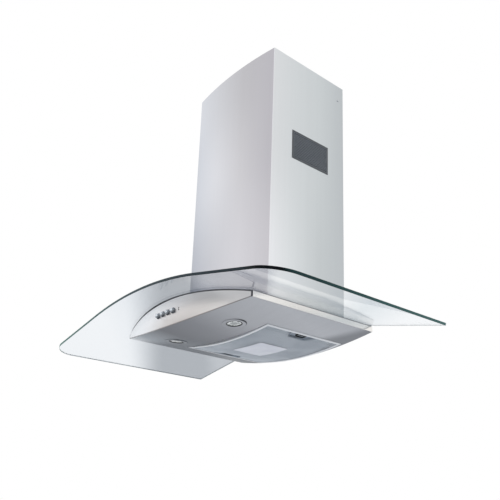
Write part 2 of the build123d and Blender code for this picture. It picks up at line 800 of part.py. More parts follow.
casing_half = CASING_WIDTH / 2
CASING_BACK = -PLATE_THICK - FIT
FLANGE_HALF = casing_half + CASING_FLANGE
FLANGE_FRONT = -CASING_DEPTH - CASING_FLANGE
flange_outline = box_outline(-FLANGE_HALF, FLANGE_HALF, FLANGE_FRONT, CASING_BACK)

casing_pad_sheet = curved_plate(
    flange_outline, Arch(GLASS_THICK + FIT), Arch(GLASS_THICK + FIT + PAD_THICK), opening
)
with BuildPart() as casing_pad:
    add(casing_pad_sheet)
    with bolt_places(FLANGE_RISE + PAD_THICK):
        Hole(BOLT_R + FIT, depth=3 * PAD_THICK + 2 * FIT)
keep(casing_pad.part, "casing_pad")

plate_pad_sheet = curved_plate(
    box_outline(-FLANGE_HALF, FLANGE_HALF, FLANGE_FRONT, -FLANGE - FIT),
    Arch(PLATE_TOP_RISE + FIT),
    Arch(-FIT),
    opening,
)
with BuildPart() as plate_pad:
    add(plate_pad_sheet)
    with bolt_places(GLASS_THICK):
        Hole(BOLT_R + FIT, depth=3 * GLASS_THICK)
keep(plate_pad.part, "plate_pad")

with BuildPart() as glass_bushes:
    for axis in BOLT_AXES:
        with BuildSketch(axis):
            Circle(BUSH_R)
            Circle(BOLT_R + FIT, mode=Mode.SUBTRACT)
        extrude(amount=GLASS_THICK)
keep(glass_bushes.part, "glass_bushes")

BOLT_SEAT = PLATE_TOP_RISE - SHEET - FIT
NUT_SEAT = FLANGE_RISE + SHEET + FIT
with BuildPart() as clamp_bolts:
    for axis in BOLT_AXES:
        seat = axis.offset(BOLT_SEAT)
        with BuildSketch(seat):
            RegularPolygon(BOLT_HEAD_R, 6)
        extrude(amount=-BOLT_HEAD)
        with BuildSketch(seat):
            Circle(BOLT_R)
        extrude(amount=NUT_SEAT - BOLT_SEAT + BOLT_HEAD + 2 * SHEET)
keep(clamp_bolts.part, "clamp_bolts")

with BuildPart() as clamp_nuts:
    for axis in BOLT_AXES:
        with BuildSketch(axis.offset(NUT_SEAT)):
            RegularPolygon(BOLT_HEAD_R, 6)
            Circle(BOLT_R + RUN, mode=Mode.SUBTRACT)
        extrude(amount=BOLT_HEAD)
keep(clamp_nuts.part, "clamp_nuts")

# ---------------------------------------------------------------- wall plate and blower casing

wall_sheet = curved_plate(
    box_outline(-casing_half, casing_half, -PLATE_THICK, 0), Arch(GLASS_THICK + FIT), Level(CASING_TOP)
)
with BuildPart() as mounting_plate:
    add(wall_sheet)
    with BuildSketch(Plane.XZ):
        with GridLocations(WALL_SCREWS_X, WALL_SCREWS_Z, 2, 2):
            Circle(WALL_HOLE_R)
    extrude(amount=PLATE_THICK, mode=Mode.SUBTRACT)
keep(mounting_plate.part, "mounting_plate")

casing_outline = box_outline(-casing_half, casing_half, -CASING_DEPTH, CASING_BACK)
casing_inside = box_outline(
    -casing_half + SHEET, casing_half - SHEET, -CASING_DEPTH + SHEET, CASING_BACK - SHEET
)
casing_window = box_outline(
    -casing_half + FLANGE, casing_half - FLANGE, -CASING_DEPTH + SHEET, CASING_BACK + FIT
)
casing_walls = curved_plate(casing_outline, Arch(FLANGE_RISE), Level(CASING_TOP), casing_inside)
casing_flange = curved_plate(flange_outline, Arch(FLANGE_RISE), Arch(FLANGE_RISE + SHEET), casing_inside)
casing_opening = curved_plate(casing_window, Level(SPAN_LOW), Level(CASING_TOP - FLANGE))
with BuildPart() as blower_casing:
    add(casing_walls)
    add(casing_opening, mode=Mode.SUBTRACT)
    add(casing_flange)
    with BuildSketch(Plane.XY.offset(CASING_TOP - SHEET)):
        add(casing_outline)
        with Locations((COLLAR_X, AXIS_Y)):
            Circle(COLLAR_R - COLLAR_WALL, mode=Mode.SUBTRACT)
    extrude(amount=SHEET)
    with bolt_places(FLANGE_RISE + 2 * SHEET):
        Hole(BOLT_R + FIT, depth=4 * SHEET)
keep(blower_casing.part, "blower_casing")

# ---------------------------------------------------------------- scroll housing

BLOWER = Plane(origin=(AXIS_X, AXIS_Y, AXIS_Z), x_dir=(1, 0, 0), z_dir=(0, -1, 0))
OUTLET_TOP = CASING_TOP - SHEET - FIT - AXIS_Z


def scroll_outline(wall):
    """Section of the scroll about the blower's axis, wall outside its inner surface."""
    first = SCROLL_R + wall
    second = first + SCROLL_GROWTH
    third = second + SCROLL_GROWTH
    left = SCROLL_R * cos(radians(TONGUE_ANGLE)) - wall
    right = third + SCROLL_GROWTH
    start = acos(left / first)
    with BuildSketch() as sketch:
        with BuildLine():
            CenterArc((0, 0), first, degrees(start), 180 - degrees(start))
            CenterArc((SCROLL_GROWTH, 0), second, 180, 90)
            CenterArc((SCROLL_GROWTH, SCROLL_GROWTH), third, 270, 90)
            Polyline(
                (right, SCROLL_GROWTH),
                (right, OUTLET_TOP),
                (left, OUTLET_TOP),
                (left, first * sin(start)),
            )
        make_face()
    return sketch.sketch


def scroll_half(direction):
    """One half of the scroll, from the blower's mid plane towards direction along its axis."""
    face = SCROLL_WIDTH / 2 * direction
    with BuildPart() as half:
        with BuildSketch(BLOWER):
            add(scroll_outline(SCROLL_WALL))
        extrude(amount=face)
        with BuildSketch(BLOWER):
            add(scroll_outline(0))
        extrude(amount=face - SCROLL_WALL * direction, mode=Mode.SUBTRACT)
        with BuildSketch(BLOWER.offset(face)):
            Circle(INLET_R + 2 * SCROLL_WALL)
        extrude(amount=INLET_LIP * direction)
        with BuildSketch(BLOWER):
            Circle(INLET_R)
        extrude(amount=face + INLET_LIP * direction, mode=Mode.SUBTRACT)
        rim = half.faces().filter_by(Axis.Y).sort_by(Axis.Y)[0 if direction > 0 else -1]
        chamfer(rim.edges().sort_by(SortBy.RADIUS)[-1], SCROLL_WALL / 2)
    return half.part


keep(scroll_half(1), "scroll_front")
keep(scroll_half(-1), "scroll_rear")

# ---------------------------------------------------------------- motor, mount and impeller

MOTOR_FRONT = DISC_THICK / 2 + MOTOR_GAP  # behind the impeller disc
MOUNT_FACE = SCROLL_WIDTH / 2 + MOUNT_GAP

with BuildPart() as motor_body:
    with BuildSketch(BLOWER.offset(-MOTOR_FRONT)):
        Circle(MOTOR_R)
    extrude(amount=-MOTOR_LENGTH)
    chamfer(motor_body.edges().filter_by(GeomType.CIRCLE), MOTOR_CHAMFER)
    with Locations(BLOWER.offset(-MOTOR_FRONT)):
        Hole(SHAFT_R + RUN, depth=MOTOR_LENGTH)
keep(motor_body.part, "motor_body")

with BuildPart() as motor_mount:
    with BuildSketch(BLOWER.offset(-MOUNT_FACE)):
        RegularPolygon(MOTOR_R + MOUNT_ARM, 6)
        with PolarLocations(MOUNT_BOLT_R / 2, 3, start_angle=90):
            Rectangle(MOUNT_BOLT_R + MOUNT_ARM, MOUNT_ARM)
        with PolarLocations(MOUNT_BOLT_R, 3, start_angle=90):
            Circle(BOLT_R, mode=Mode.SUBTRACT)
        Circle(MOTOR_R + FIT, mode=Mode.SUBTRACT)
    extrude(amount=-MOUNT_THICK)
keep(motor_mount.part, "motor_mount")

with BuildPart() as mount_bushes:
    with BuildSketch(BLOWER.offset(-SCROLL_WIDTH / 2 - FIT)):
        with PolarLocations(MOUNT_BOLT_R, 3, start_angle=90):
            Circle(MOUNT_ARM / 2)
    extrude(amount=-(MOUNT_GAP - 2 * FIT))
keep(mount_bushes.part, "mount_bushes")

SHAFT_BACK = MOTOR_FRONT + MOTOR_LENGTH + SHAFT_END
SHAFT_FRONT = HUB_LENGTH / 2 + BOLT_HEAD + SHAFT_END
with BuildPart() as motor_shaft:
    with BuildSketch(BLOWER.offset(-SHAFT_BACK)):
        Circle(SHAFT_R)
    extrude(amount=SHAFT_BACK + SHAFT_FRONT)
    chamfer(motor_shaft.edges().filter_by(GeomType.CIRCLE), SHAFT_CHAMFER)
keep(motor_shaft.part, "motor_shaft")

BLADE_FOOT = IMPELLER_R - BLADE_DEPTH
with BuildSketch() as blade:
    with BuildLine():
        fold = (BLADE_DEPTH / 2, BLADE_CAMBER / 4)
        tip = (BLADE_DEPTH - BLADE_THICK, BLADE_CAMBER)
        Polyline(
            (0, 0),
            fold,
            tip,
            (tip[0], tip[1] + BLADE_THICK),
            (fold[0], fold[1] + BLADE_THICK),
            (0, BLADE_THICK),
            close=True,
        )
    make_face()

with BuildPart() as impeller:
    with BuildSketch(BLOWER.offset(-DISC_THICK / 2)):
        Circle(IMPELLER_R - BLADE_THICK)
    extrude(amount=DISC_THICK)
    with BuildSketch(BLOWER.offset(-DISC_THICK / 2)):
        Circle(HUB_R)
    extrude(amount=DISC_THICK / 2 + HUB_LENGTH / 2)
    with BuildSketch(BLOWER.offset(-IMPELLER_WIDTH / 2)):
        with PolarLocations(BLADE_FOOT, BLADE_COUNT):
            add(blade.sketch)
    extrude(amount=IMPELLER_WIDTH)
    for end in (-IMPELLER_WIDTH / 2, IMPELLER_WIDTH / 2 - RING_THICK):
        with BuildSketch(BLOWER.offset(end)):
            Circle(IMPELLER_R)
            Circle(BLADE_FOOT + BLADE_DEPTH / 2, mode=Mode.SUBTRACT)
        extrude(amount=RING_THICK)
    with Locations(BLOWER.offset(HUB_LENGTH)):
        Hole(SHAFT_R + RUN, depth=2 * HUB_LENGTH)
keep(impeller.part, "impeller")

with BuildPart() as impeller_nut:
    with BuildSketch(BLOWER.offset(HUB_LENGTH / 2 + FIT)):
        RegularPolygon(HUB_NUT_R, 6)
        Circle(SHAFT_R + RUN, mode=Mode.SUBTRACT)
    extrude(amount=BOLT_HEAD)
keep(impeller_nut.part, "impeller_nut")

# ---------------------------------------------------------------- duct collar and flaps

COLLAR_SEAT = CASING_TOP + FIT
FLAP_Z = COLLAR_SEAT + FLAP_RISE
COLLAR = Plane(origin=(COLLAR_X, AXIS_Y, 0))
COLLAR_BORE = COLLAR_R - COLLAR_WALL
COLLAR_SCREW_R = (COLLAR_R + COLLAR_FLANGE_R) / 2

with BuildPart() as outlet_collar:
    with BuildSketch(COLLAR.offset(COLLAR_SEAT)):
        Circle(COLLAR_FLANGE_R)
    extrude(amount=COLLAR_FLANGE)
    with BuildSketch(COLLAR.offset(COLLAR_SEAT)):
        Circle(COLLAR_R)
    extrude(amount=COLLAR_HEIGHT)
    with BuildSketch(COLLAR.offset(COLLAR_SEAT)):
        Circle(COLLAR_BORE)
    extrude(amount=COLLAR_HEIGHT, mode=Mode.SUBTRACT)
    ledge_top = FLAP_Z - FLAP_THICK / 2 - FIT
    with BuildSketch(COLLAR.offset(ledge_top - COLLAR_WALL)):
        Circle(COLLAR_BORE)
        Circle(COLLAR_BORE - FLAP_LEDGE, mode=Mode.SUBTRACT)
        Rectangle(FLAP_LEDGE, 2 * COLLAR_BORE - COLLAR_WALL)
    extrude(amount=COLLAR_WALL)
    with BuildSketch(Plane.XZ.offset(-AXIS_Y + COLLAR_R + FIT)):
        with Locations((COLLAR_X - FLAP_OFFSET, FLAP_Z), (COLLAR_X + FLAP_OFFSET, FLAP_Z)):
            Circle(FLAP_PIN_R + RUN)
    extrude(amount=-2 * COLLAR_R - 2 * FIT, mode=Mode.SUBTRACT)
    with Locations(COLLAR.offset(COLLAR_SEAT + COLLAR_FLANGE)):
        with PolarLocations(COLLAR_SCREW_R, 4, start_angle=45):
            Hole(SIDE_SCREW_R + FIT / 2, depth=COLLAR_FLANGE)
keep(outlet_collar.part, "outlet_collar")

with BuildPart() as flap:
    with BuildSketch(COLLAR.offset(FLAP_Z - FLAP_THICK / 2)):
        Circle(COLLAR_BORE - FLAP_GAP)
        with Locations((-COLLAR_R + FLAP_OFFSET, 0)):
            Rectangle(2 * COLLAR_R, 2 * COLLAR_R, mode=Mode.SUBTRACT)
    extrude(amount=FLAP_THICK)
    with BuildSketch(Plane.XZ.offset(-AXIS_Y - COLLAR_R + FIT)):
        with Locations((COLLAR_X + FLAP_OFFSET, FLAP_Z)):
            Circle(FLAP_PIN_R)
    extrude(amount=2 * COLLAR_R - 2 * FIT)
keep(flap.part, "flap_right")
keep(flap.part.mirror(Plane.YZ.offset(COLLAR_X)), "flap_left")

with BuildPart() as collar_screws:
    with BuildSketch(COLLAR.offset(COLLAR_SEAT + COLLAR_FLANGE + FIT / 2)):
        with PolarLocations(COLLAR_SCREW_R, 4, start_angle=45):
            Circle(SIDE_SCREW_HEAD_R)
    extrude(amount=SIDE_SCREW_HEAD)
    with BuildSketch(COLLAR.offset(COLLAR_SEAT + COLLAR_FLANGE + FIT)):
        with PolarLocations(COLLAR_SCREW_R, 4, start_angle=45):
            Circle(SIDE_SCREW_R)
    extrude(amount=-COLLAR_FLANGE)
keep(collar_screws.part, "collar_screws")

# ---------------------------------------------------------------- junction box and capacitor

JUNCTION_SEAT = CASING_TOP + FIT
with BuildPart() as junction_box:
    with BuildSketch(Plane((JUNCTION_X, JUNCTION_Y, JUNCTION_SEAT))):
        RectangleRounded(JUNCTION_WIDTH, JUNCTION_DEPTH, JUNCTION_CORNER_R)
    extrude(amount=JUNCTION_HEIGHT)
    offset(amount=-JUNCTION_WALL, openings=junction_box.faces().sort_by(Axis.Z)[-1])
keep(junction_box.part, "junction_box")

LID_SEAT = JUNCTION_SEAT + JUNCTION_HEIGHT + FIT
with BuildPart() as junction_lid:
    with BuildSketch(Plane((JUNCTION_X, JUNCTION_Y, LID_SEAT))):
        RectangleRounded(JUNCTION_WIDTH, JUNCTION_DEPTH, JUNCTION_CORNER_R)
        Circle(GLAND_R - JUNCTION_WALL + FIT, mode=Mode.SUBTRACT)
    extrude(amount=JUNCTION_WALL)
keep(junction_lid.part, "junction_lid")

with BuildPart() as cord_gland:
    gland = Plane((JUNCTION_X, JUNCTION_Y, LID_SEAT + JUNCTION_WALL + FIT))
    with BuildSketch(gland):
        RegularPolygon(GLAND_R, 6)
    extrude(amount=GLAND_NUT)
    with BuildSketch(gland.offset(GLAND_NUT)):
        Circle(GLAND_R - JUNCTION_WALL / 2)
    extrude(amount=GLAND_LENGTH - GLAND_NUT, taper=GLAND_TAPER)
    with BuildSketch(gland):
        Circle(GLAND_R - JUNCTION_WALL)
    extrude(amount=-2 * JUNCTION_WALL)
    with Locations(gland.offset(GLAND_LENGTH)):
        Hole(GLAND_BORE_R, depth=GLAND_LENGTH + 2 * JUNCTION_WALL)
keep(cord_gland.part, "cord_gland")

with BuildPart() as capacitor:
    with BuildSketch(Plane((JUNCTION_X, CAPACITOR_Y, JUNCTION_SEAT))):
        Rectangle(CAPACITOR_WIDTH, CAPACITOR_DEPTH)
    extrude(amount=CAPACITOR_HEIGHT)
    chamfer(capacitor.edges().filter_by(Axis.Z), CAPACITOR_EDGE)
    chamfer(capacitor.edges().group_by(Axis.Z)[-1], CAPACITOR_EDGE / 2)
keep(capacitor.part, "capacitor")

# ---------------------------------------------------------------- chimney


def chimney_plan(inset):
    """Chimney's plan moved in by inset, with its two front edges rounded."""
    outline = bowed_outline(CHIMNEY_WIDTH, CHIMNEY_DEPTH, CHIMNEY_BOW, inset, CHIMNEY_BACK + inset)
    with BuildSketch() as sketch:
        add(outline)
        fillet(sketch.vertices().group_by(Axis.Y)[0], CHIMNEY_EDGE_R - inset)
    return sketch.sketch


VENT_Z = CHIMNEY_TOP - VENT_DROP
VENT_HOLE = (VENT_WIDTH - 2 * VENT_RIM, VENT_HEIGHT - 2 * VENT_RIM)
CHIMNEY_HALF = CHIMNEY_WIDTH / 2
BRACKET_Z = CHIMNEY_TOP - BRACKET_DROP
chimney_walls = curved_plate(
    chimney_plan(0), Arch(GLASS_THICK + CHIMNEY_FLOAT), Level(CHIMNEY_TOP), chimney_plan(SHEET)
)
back_half = CHIMNEY_HALF - CHIMNEY_RETURN
with BuildPart() as chimney_cover:
    add(chimney_walls)
    with BuildSketch(Plane.XY.offset(SPAN_LOW)):
        add(box_outline(-back_half, back_half, -CHIMNEY_BACK - 2 * SHEET, 0))
    extrude(amount=SPAN, mode=Mode.SUBTRACT)
    with BuildSketch(Plane.YZ.offset(-CHIMNEY_WIDTH)):
        with Locations((VENT_Y, VENT_Z)):
            Rectangle(*VENT_HOLE)
        with Locations((SIDE_SCREW_Y, BRACKET_Z)):
            Circle(SIDE_SCREW_R + FIT)
    extrude(amount=2 * CHIMNEY_WIDTH, mode=Mode.SUBTRACT)
keep(chimney_cover.part, "chimney_cover")

VENT_WINDOW = (VENT_HOLE[0] - 2 * VENT_FRAME, VENT_HOLE[1] - 2 * VENT_FRAME)
slat_count = int(VENT_WINDOW[1] / SLAT_PITCH)
with BuildPart() as vent_grille:
    face = Plane(origin=(CHIMNEY_HALF + FIT / 3, VENT_Y, VENT_Z), x_dir=(0, 1, 0), z_dir=(1, 0, 0))
    with BuildSketch(face):
        Rectangle(VENT_WIDTH, VENT_HEIGHT)
        Rectangle(*VENT_WINDOW, mode=Mode.SUBTRACT)
    extrude(amount=VENT_RIM_THICK)
    with BuildSketch(face):
        Rectangle(VENT_HOLE[0] - 2 * FIT, VENT_HOLE[1] - 2 * FIT)
        Rectangle(*VENT_WINDOW, mode=Mode.SUBTRACT)
    extrude(amount=-VENT_DEPTH)
    with Locations(face.offset(-VENT_DEPTH / 2)):
        with GridLocations(0, SLAT_PITCH, 1, slat_count):
            Box(VENT_WINDOW[0] + VENT_FRAME, SLAT_THICK, VENT_DEPTH)
keep_pair(vent_grille.part, "vent_grille")

EAR_X = CHIMNEY_HALF - SHEET - FIT
STEP_X = back_half - 2 * BRACKET_THICK
with BuildPart() as chimney_bracket:
    with BuildSketch(Plane.XY.offset(BRACKET_Z - BRACKET_HEIGHT / 2)):
        with BuildLine() as bend:
            Polyline(
                (-EAR_X, -BRACKET_EAR),
                (-EAR_X, -BRACKET_STEP),
                (-STEP_X, -BRACKET_STEP),
                (-STEP_X, 0),
                (STEP_X, 0),
                (STEP_X, -BRACKET_STEP),
                (EAR_X, -BRACKET_STEP),
                (EAR_X, -BRACKET_EAR),
            )
            offset(amount=BRACKET_THICK, side=Side.RIGHT, kind=Kind.INTERSECTION)
        make_face()
    extrude(amount=BRACKET_HEIGHT)
    with BuildSketch(Plane.XZ):
        with Locations((-BRACKET_SCREWS_X / 2, BRACKET_Z), (BRACKET_SCREWS_X / 2, BRACKET_Z)):
            Circle(BRACKET_HOLE_R)
    extrude(amount=BRACKET_THICK * 2, mode=Mode.SUBTRACT)
    with BuildSketch(Plane.YZ.offset(-CHIMNEY_WIDTH)):
        with Locations((SIDE_SCREW_Y, BRACKET_Z)):
            Circle(SIDE_SCREW_R + FIT)
    extrude(amount=2 * CHIMNEY_WIDTH, mode=Mode.SUBTRACT)
keep(chimney_bracket.part, "chimney_bracket")

with BuildPart() as chimney_screws:
    for side in (-1, 1):
        place = (side * (CHIMNEY_HALF + FIT / 2), SIDE_SCREW_Y, BRACKET_Z)
        head = Plane(origin=place, x_dir=(0, 1, 0), z_dir=(side, 0, 0))
        with BuildSketch(head):
            Circle(SIDE_SCREW_HEAD_R)
        extrude(amount=SIDE_SCREW_HEAD, taper=SIDE_SCREW_TAPER)
        with BuildSketch(head):
            Circle(SIDE_SCREW_R)
        extrude(amount=-SIDE_SCREW_LENGTH)
keep(chimney_screws.part, "chimney_screws")

print(len(parts), "pieces written")
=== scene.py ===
# %% [markdown]
# # A range hood with a curved glass canopy
#
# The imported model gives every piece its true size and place. This lesson dresses it. The pieces that the eye
# meets first are modelled again by hand, with smooth curves and fine edges, and every other piece gets a
# finish of its own. All lengths are in metres. The wall is the plane y = 0, the hood stands out along -y,
# and z is up.

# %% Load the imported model
from math import asin, cos, pi, radians, sin, sqrt

import bmesh
import bpy
from mathutils import Matrix, Vector


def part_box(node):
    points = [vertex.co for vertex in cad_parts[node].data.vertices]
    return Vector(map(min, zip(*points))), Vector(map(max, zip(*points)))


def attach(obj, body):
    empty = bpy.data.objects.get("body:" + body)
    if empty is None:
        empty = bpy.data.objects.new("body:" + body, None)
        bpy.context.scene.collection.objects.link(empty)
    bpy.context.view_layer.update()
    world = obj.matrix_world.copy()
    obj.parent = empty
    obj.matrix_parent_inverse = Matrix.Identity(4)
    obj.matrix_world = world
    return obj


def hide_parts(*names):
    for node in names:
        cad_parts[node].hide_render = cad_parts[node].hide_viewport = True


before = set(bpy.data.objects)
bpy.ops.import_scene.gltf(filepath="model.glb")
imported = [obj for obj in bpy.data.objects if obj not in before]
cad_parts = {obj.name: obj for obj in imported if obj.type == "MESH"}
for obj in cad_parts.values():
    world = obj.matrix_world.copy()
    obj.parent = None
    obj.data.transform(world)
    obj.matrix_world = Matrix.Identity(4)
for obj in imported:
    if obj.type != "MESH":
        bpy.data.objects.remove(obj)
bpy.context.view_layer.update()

# %% [markdown]
# ## Camera
#
# The picture was taken from the hood's right front, low down, looking up. The place, direction, roll and lens
# below come from fitting known points of the hood to the picture. The frame is shifted up a little instead of
# tilting the camera further, so upright edges stay nearly upright.

# %% Camera
EYE = (1.2042, -1.1613, -0.6007)
forward = Vector((-0.7434, 0.6092, 0.2761)).normalized()
level = forward.cross(Vector((0, 0, 1))).normalized()
above = level.cross(forward)
roll = radians(2.0)
right = level * cos(roll) + above * sin(roll)
up = above * cos(roll) - level * sin(roll)

lens = bpy.data.cameras.new("camera")
lens.lens = 46.4
lens.sensor_width = 36
lens.shift_y = 0.15
camera = bpy.data.objects.new("camera", lens)
turn = Matrix((right, up, -forward)).transposed().to_4x4()
camera.matrix_world = Matrix.Translation(EYE) @ turn
bpy.context.collection.objects.link(camera)
bpy.context.scene.camera = camera
bpy.context.scene.view_settings.view_transform = "Standard"
print("camera looks along", [round(v, 3) for v in forward])

# %% [markdown]
# ## Writing shaders as sums
#
# A shader is a small network of nodes. Drawing it by hand in code is long, so a socket is wrapped in a class
# that knows +, -, * and /. Then `1 - streaks * 0.2` adds its own Math nodes. Every other node comes from one
# method, which sets the node's options first and then fills or links its sockets. Colours are written as they
# show on screen, because that is how one reads them off a picture.


# %% Links that can be added and multiplied
class Link:
    """A socket of a node, usable in sums."""

    def __init__(self, nodes, socket):
        self.nodes = nodes
        self.socket = socket

    def maths(self, operation, *values):
        return self.nodes.add("ShaderNodeMath", {"operation": operation}, dict(enumerate(values)))

    def __add__(self, other):
        return self.maths("ADD", self, other)

    def __sub__(self, other):
        return self.maths("SUBTRACT", self, other)

    def __rsub__(self, other):
        return self.maths("SUBTRACT", other, self)

    def __mul__(self, other):
        return self.maths("MULTIPLY", self, other)

    def __truediv__(self, other):
        return self.maths("DIVIDE", self, other)

    __radd__ = __add__
    __rmul__ = __mul__


class Nodes:
    """Adds nodes to one tree."""

    def __init__(self, tree):
        self.tree = tree
        tree.nodes.clear()

    def add(self, kind, settings=None, sockets=None, out=0):
        """A node of that kind, its options set and its sockets filled; returns one of its outputs."""
        made = self.tree.nodes.new(kind)
        for key, value in (settings or {}).items():
            if key == "stops":
                while len(made.color_ramp.elements) < len(value):
                    made.color_ramp.elements.new(0.5)
                for element, (place, colour) in zip(made.color_ramp.elements, value):
                    element.position = place
                    element.color = colour
            else:
                setattr(made, key, value)
        for key, value in (sockets or {}).items():
            if isinstance(value, Link):
                self.tree.links.new(value.socket, made.inputs[key])
            else:
                made.inputs[key].default_value = value
        return Link(self, made.outputs[out]) if made.outputs else None


def paint(red, green, blue):
    """A colour as it shows on screen, 0 to 255, as the linear colour that shaders use."""
    shown = [v / 255 for v in (red, green, blue)]
    return (*[v / 12.92 if v < 0.04 else ((v + 0.055) / 1.055) ** 2.4 for v in shown], 1.0)


# %% [markdown]
# ## Studio
#
# The hood is shown cut out on white. The backdrop is white only for rays that come from the camera or that
# metal and glass send on, and everything else is lit by a softer sky and two large soft lamps. So the white
# puts no extra light on the object. A pale floor far below catches the shadow in the other views.

# %% Backdrop
world = bpy.data.worlds.new("studio")
world.use_nodes = True
bpy.context.scene.world = world
sky = Nodes(world.node_tree)
seen = sky.add("ShaderNodeLightPath", out="Is Camera Ray")
seen = seen + sky.add("ShaderNodeLightPath", out="Is Glossy Ray")
seen = (seen + sky.add("ShaderNodeLightPath", out="Is Transmission Ray")).maths("MINIMUM", seen, 1.0)
soft = sky.add("ShaderNodeBackground", None, {"Color": (0.95, 0.97, 1.0, 1), "Strength": 0.75})
white = sky.add("ShaderNodeBackground", None, {"Color": (1, 1, 1, 1), "Strength": 1.0})
backdrop = sky.add("ShaderNodeMixShader", None, {0: seen, 1: soft, 2: white})
sky.add("ShaderNodeOutputWorld", None, {0: backdrop})


# %% Lamps
SOFT_BOX = 2.2
HOOD_MIDDLE = Vector((0, -0.2, 0))


def soft_lamp(name, place, power):
    """A square soft box that shines from place towards the hood."""
    data = bpy.data.lights.new(name, "AREA")
    data.size = SOFT_BOX
    data.energy = power
    lamp = bpy.data.objects.new(name, data)
    lamp.location = place
    lamp.rotation_euler = (HOOD_MIDDLE - Vector(place)).to_track_quat("-Z", "Y").to_euler()
    bpy.context.collection.objects.link(lamp)


soft_lamp("key lamp", (1.8, -3.2, 2.6), power=7)
soft_lamp("fill lamp", (-3.0, -2.4, 1.4), power=4)

# %% Floor
FLOOR = -4.0
FLOOR_SIZE = 100
bpy.ops.object.select_all(action="DESELECT")
bpy.ops.mesh.primitive_plane_add(size=FLOOR_SIZE, location=(0, 0, FLOOR))
floor = bpy.context.object
floor.name = "floor"

# %% [markdown]
# ## Brushed steel
#
# The sheets are brushed stainless steel. Brushing leaves fine scratches in one direction, which spread a
# reflection across that direction. They are drawn as noise that is stretched along the grain: a fine one for
# the scratches and a broad one for the pale and dark bands that make steel look rolled. The bands change
# colour and roughness a little, and the scratches are a faint bump.


# %% Finishes
class Finish(Nodes):
    """One material under construction, with the object's own coordinates at hand."""

    def __init__(self, name):
        self.material = bpy.data.materials.new(name)
        self.material.use_nodes = True
        super().__init__(self.material.node_tree)
        self.place = self.add("ShaderNodeTexCoord", out="Object")
        self.x, self.y, self.z = [
            self.add("ShaderNodeSeparateXYZ", None, {0: self.place}, out=axis) for axis in "XYZ"
        ]

    def noise(self, stretch, detail=2.0, rough=0.5):
        """Noise of about 0 to 1, with that many features a metre along x, y and z."""
        scaled = self.add("ShaderNodeMapping", None, {"Vector": self.place, "Scale": stretch})
        return self.add(
            "ShaderNodeTexNoise", None, {"Vector": scaled, "Scale": 1.0, "Detail": detail, "Roughness": rough}
        )

    def fade(self, value, start, end, low=0.0, high=1.0):
        """value, eased from low at start to high at end."""
        return self.add(
            "ShaderNodeMapRange",
            {"interpolation_type": "SMOOTHSTEP"},
            {0: value, 1: start, 2: end, 3: low, 4: high},
        )

    def ramp(self, value, start, end, *colours):
        """Colours, each red, green and blue of 0 to 255, spread evenly over value from start to end."""
        stops = [(index / (len(colours) - 1), paint(*colour)) for index, colour in enumerate(colours)]
        return self.add("ShaderNodeValToRGB", {"stops": stops}, {0: (value - start) * (1 / (end - start))})

    def blend(self, factor, first, second):
        """Colour between first and second."""
        return self.add("ShaderNodeMix", {"data_type": "RGBA"}, {0: factor, 6: first, 7: second}, out=2)

    def bump(self, height, depth, strength=1.0):
        """Normals of a surface whose height, 0 to 1, stands for depth metres."""
        return self.add("ShaderNodeBump", None, {"Height": height, "Distance": depth, "Strength": strength})

    def surface(self, **sockets):
        """The finished material: a Principled surface with these sockets."""
        named = {key.replace("_", " "): value for key, value in sockets.items()}
        shader = self.add("ShaderNodeBsdfPrincipled", None, named)
        self.add("ShaderNodeOutputMaterial", None, {0: shader})
        return self.material


# %% Brushed steel
BAND = 14


def brushed(name, grain, tint, contrast=0.05, roughness=0.3):
    """Brushed steel: grain is the stretch of its scratches, and tint says its colour at each place, painted
    reflections included.
    """
    steel = Finish(name)
    scratches = steel.noise(grain, 3.0, 0.7)
    bands = steel.noise([stretch / BAND for stretch in grain], 2.0, 0.5)
    smears = steel.noise((9, 9, 9), 2.0, 0.5)
    tone = steel.fade(bands * 0.4 + scratches * 0.6, 0.3, 0.7, 1 - contrast, 1.0)
    return steel.surface(
        Base_Color=steel.add("ShaderNodeVectorMath", {"operation": "SCALE"}, {0: tint(steel), "Scale": tone}),
        Metallic=1.0,
        Roughness=roughness + (bands - 0.5) * 0.05 + (smears - 0.5) * 0.06,
        Normal=steel.bump(scratches, 0.00002, 0.4),
    )


# %% Finish of the floor
ground = Finish("pale floor")
pale = ground.surface(Base_Color=paint(236, 237, 239), Roughness=0.9, Specular_IOR_Level=0.1)
floor.data.materials.append(pale)

# %% [markdown]
# ## Painted reflections and seams
#
# What one sees on a steel sheet is mostly the room that it mirrors: pale walls, a dark ceiling, the hood's
# own parts. That should come from the shader and the lights. Building the room would have lit the hood
# differently from every side, so it is painted here instead, as soft ramps of colour over the sheet's own x,
# y and z. The colours were tuned until the view from this one camera matched, so they are right for that view
# alone, and stay put when the view or the light changes. Thin dark lines mark the seams between sheets, which
# are narrower than a pixel.

# %% Places that the painted reflections follow
PAN_RADIUS = 1.237625
PAN_LOW = -0.208208
BEND_RADIUS = 1.1
BEND_HEIGHT = -1.241
CHIMNEY_EDGE = (0.157**2, 0.1581**2)
FASCIA_END = (0.2440**2, 0.2450**2)
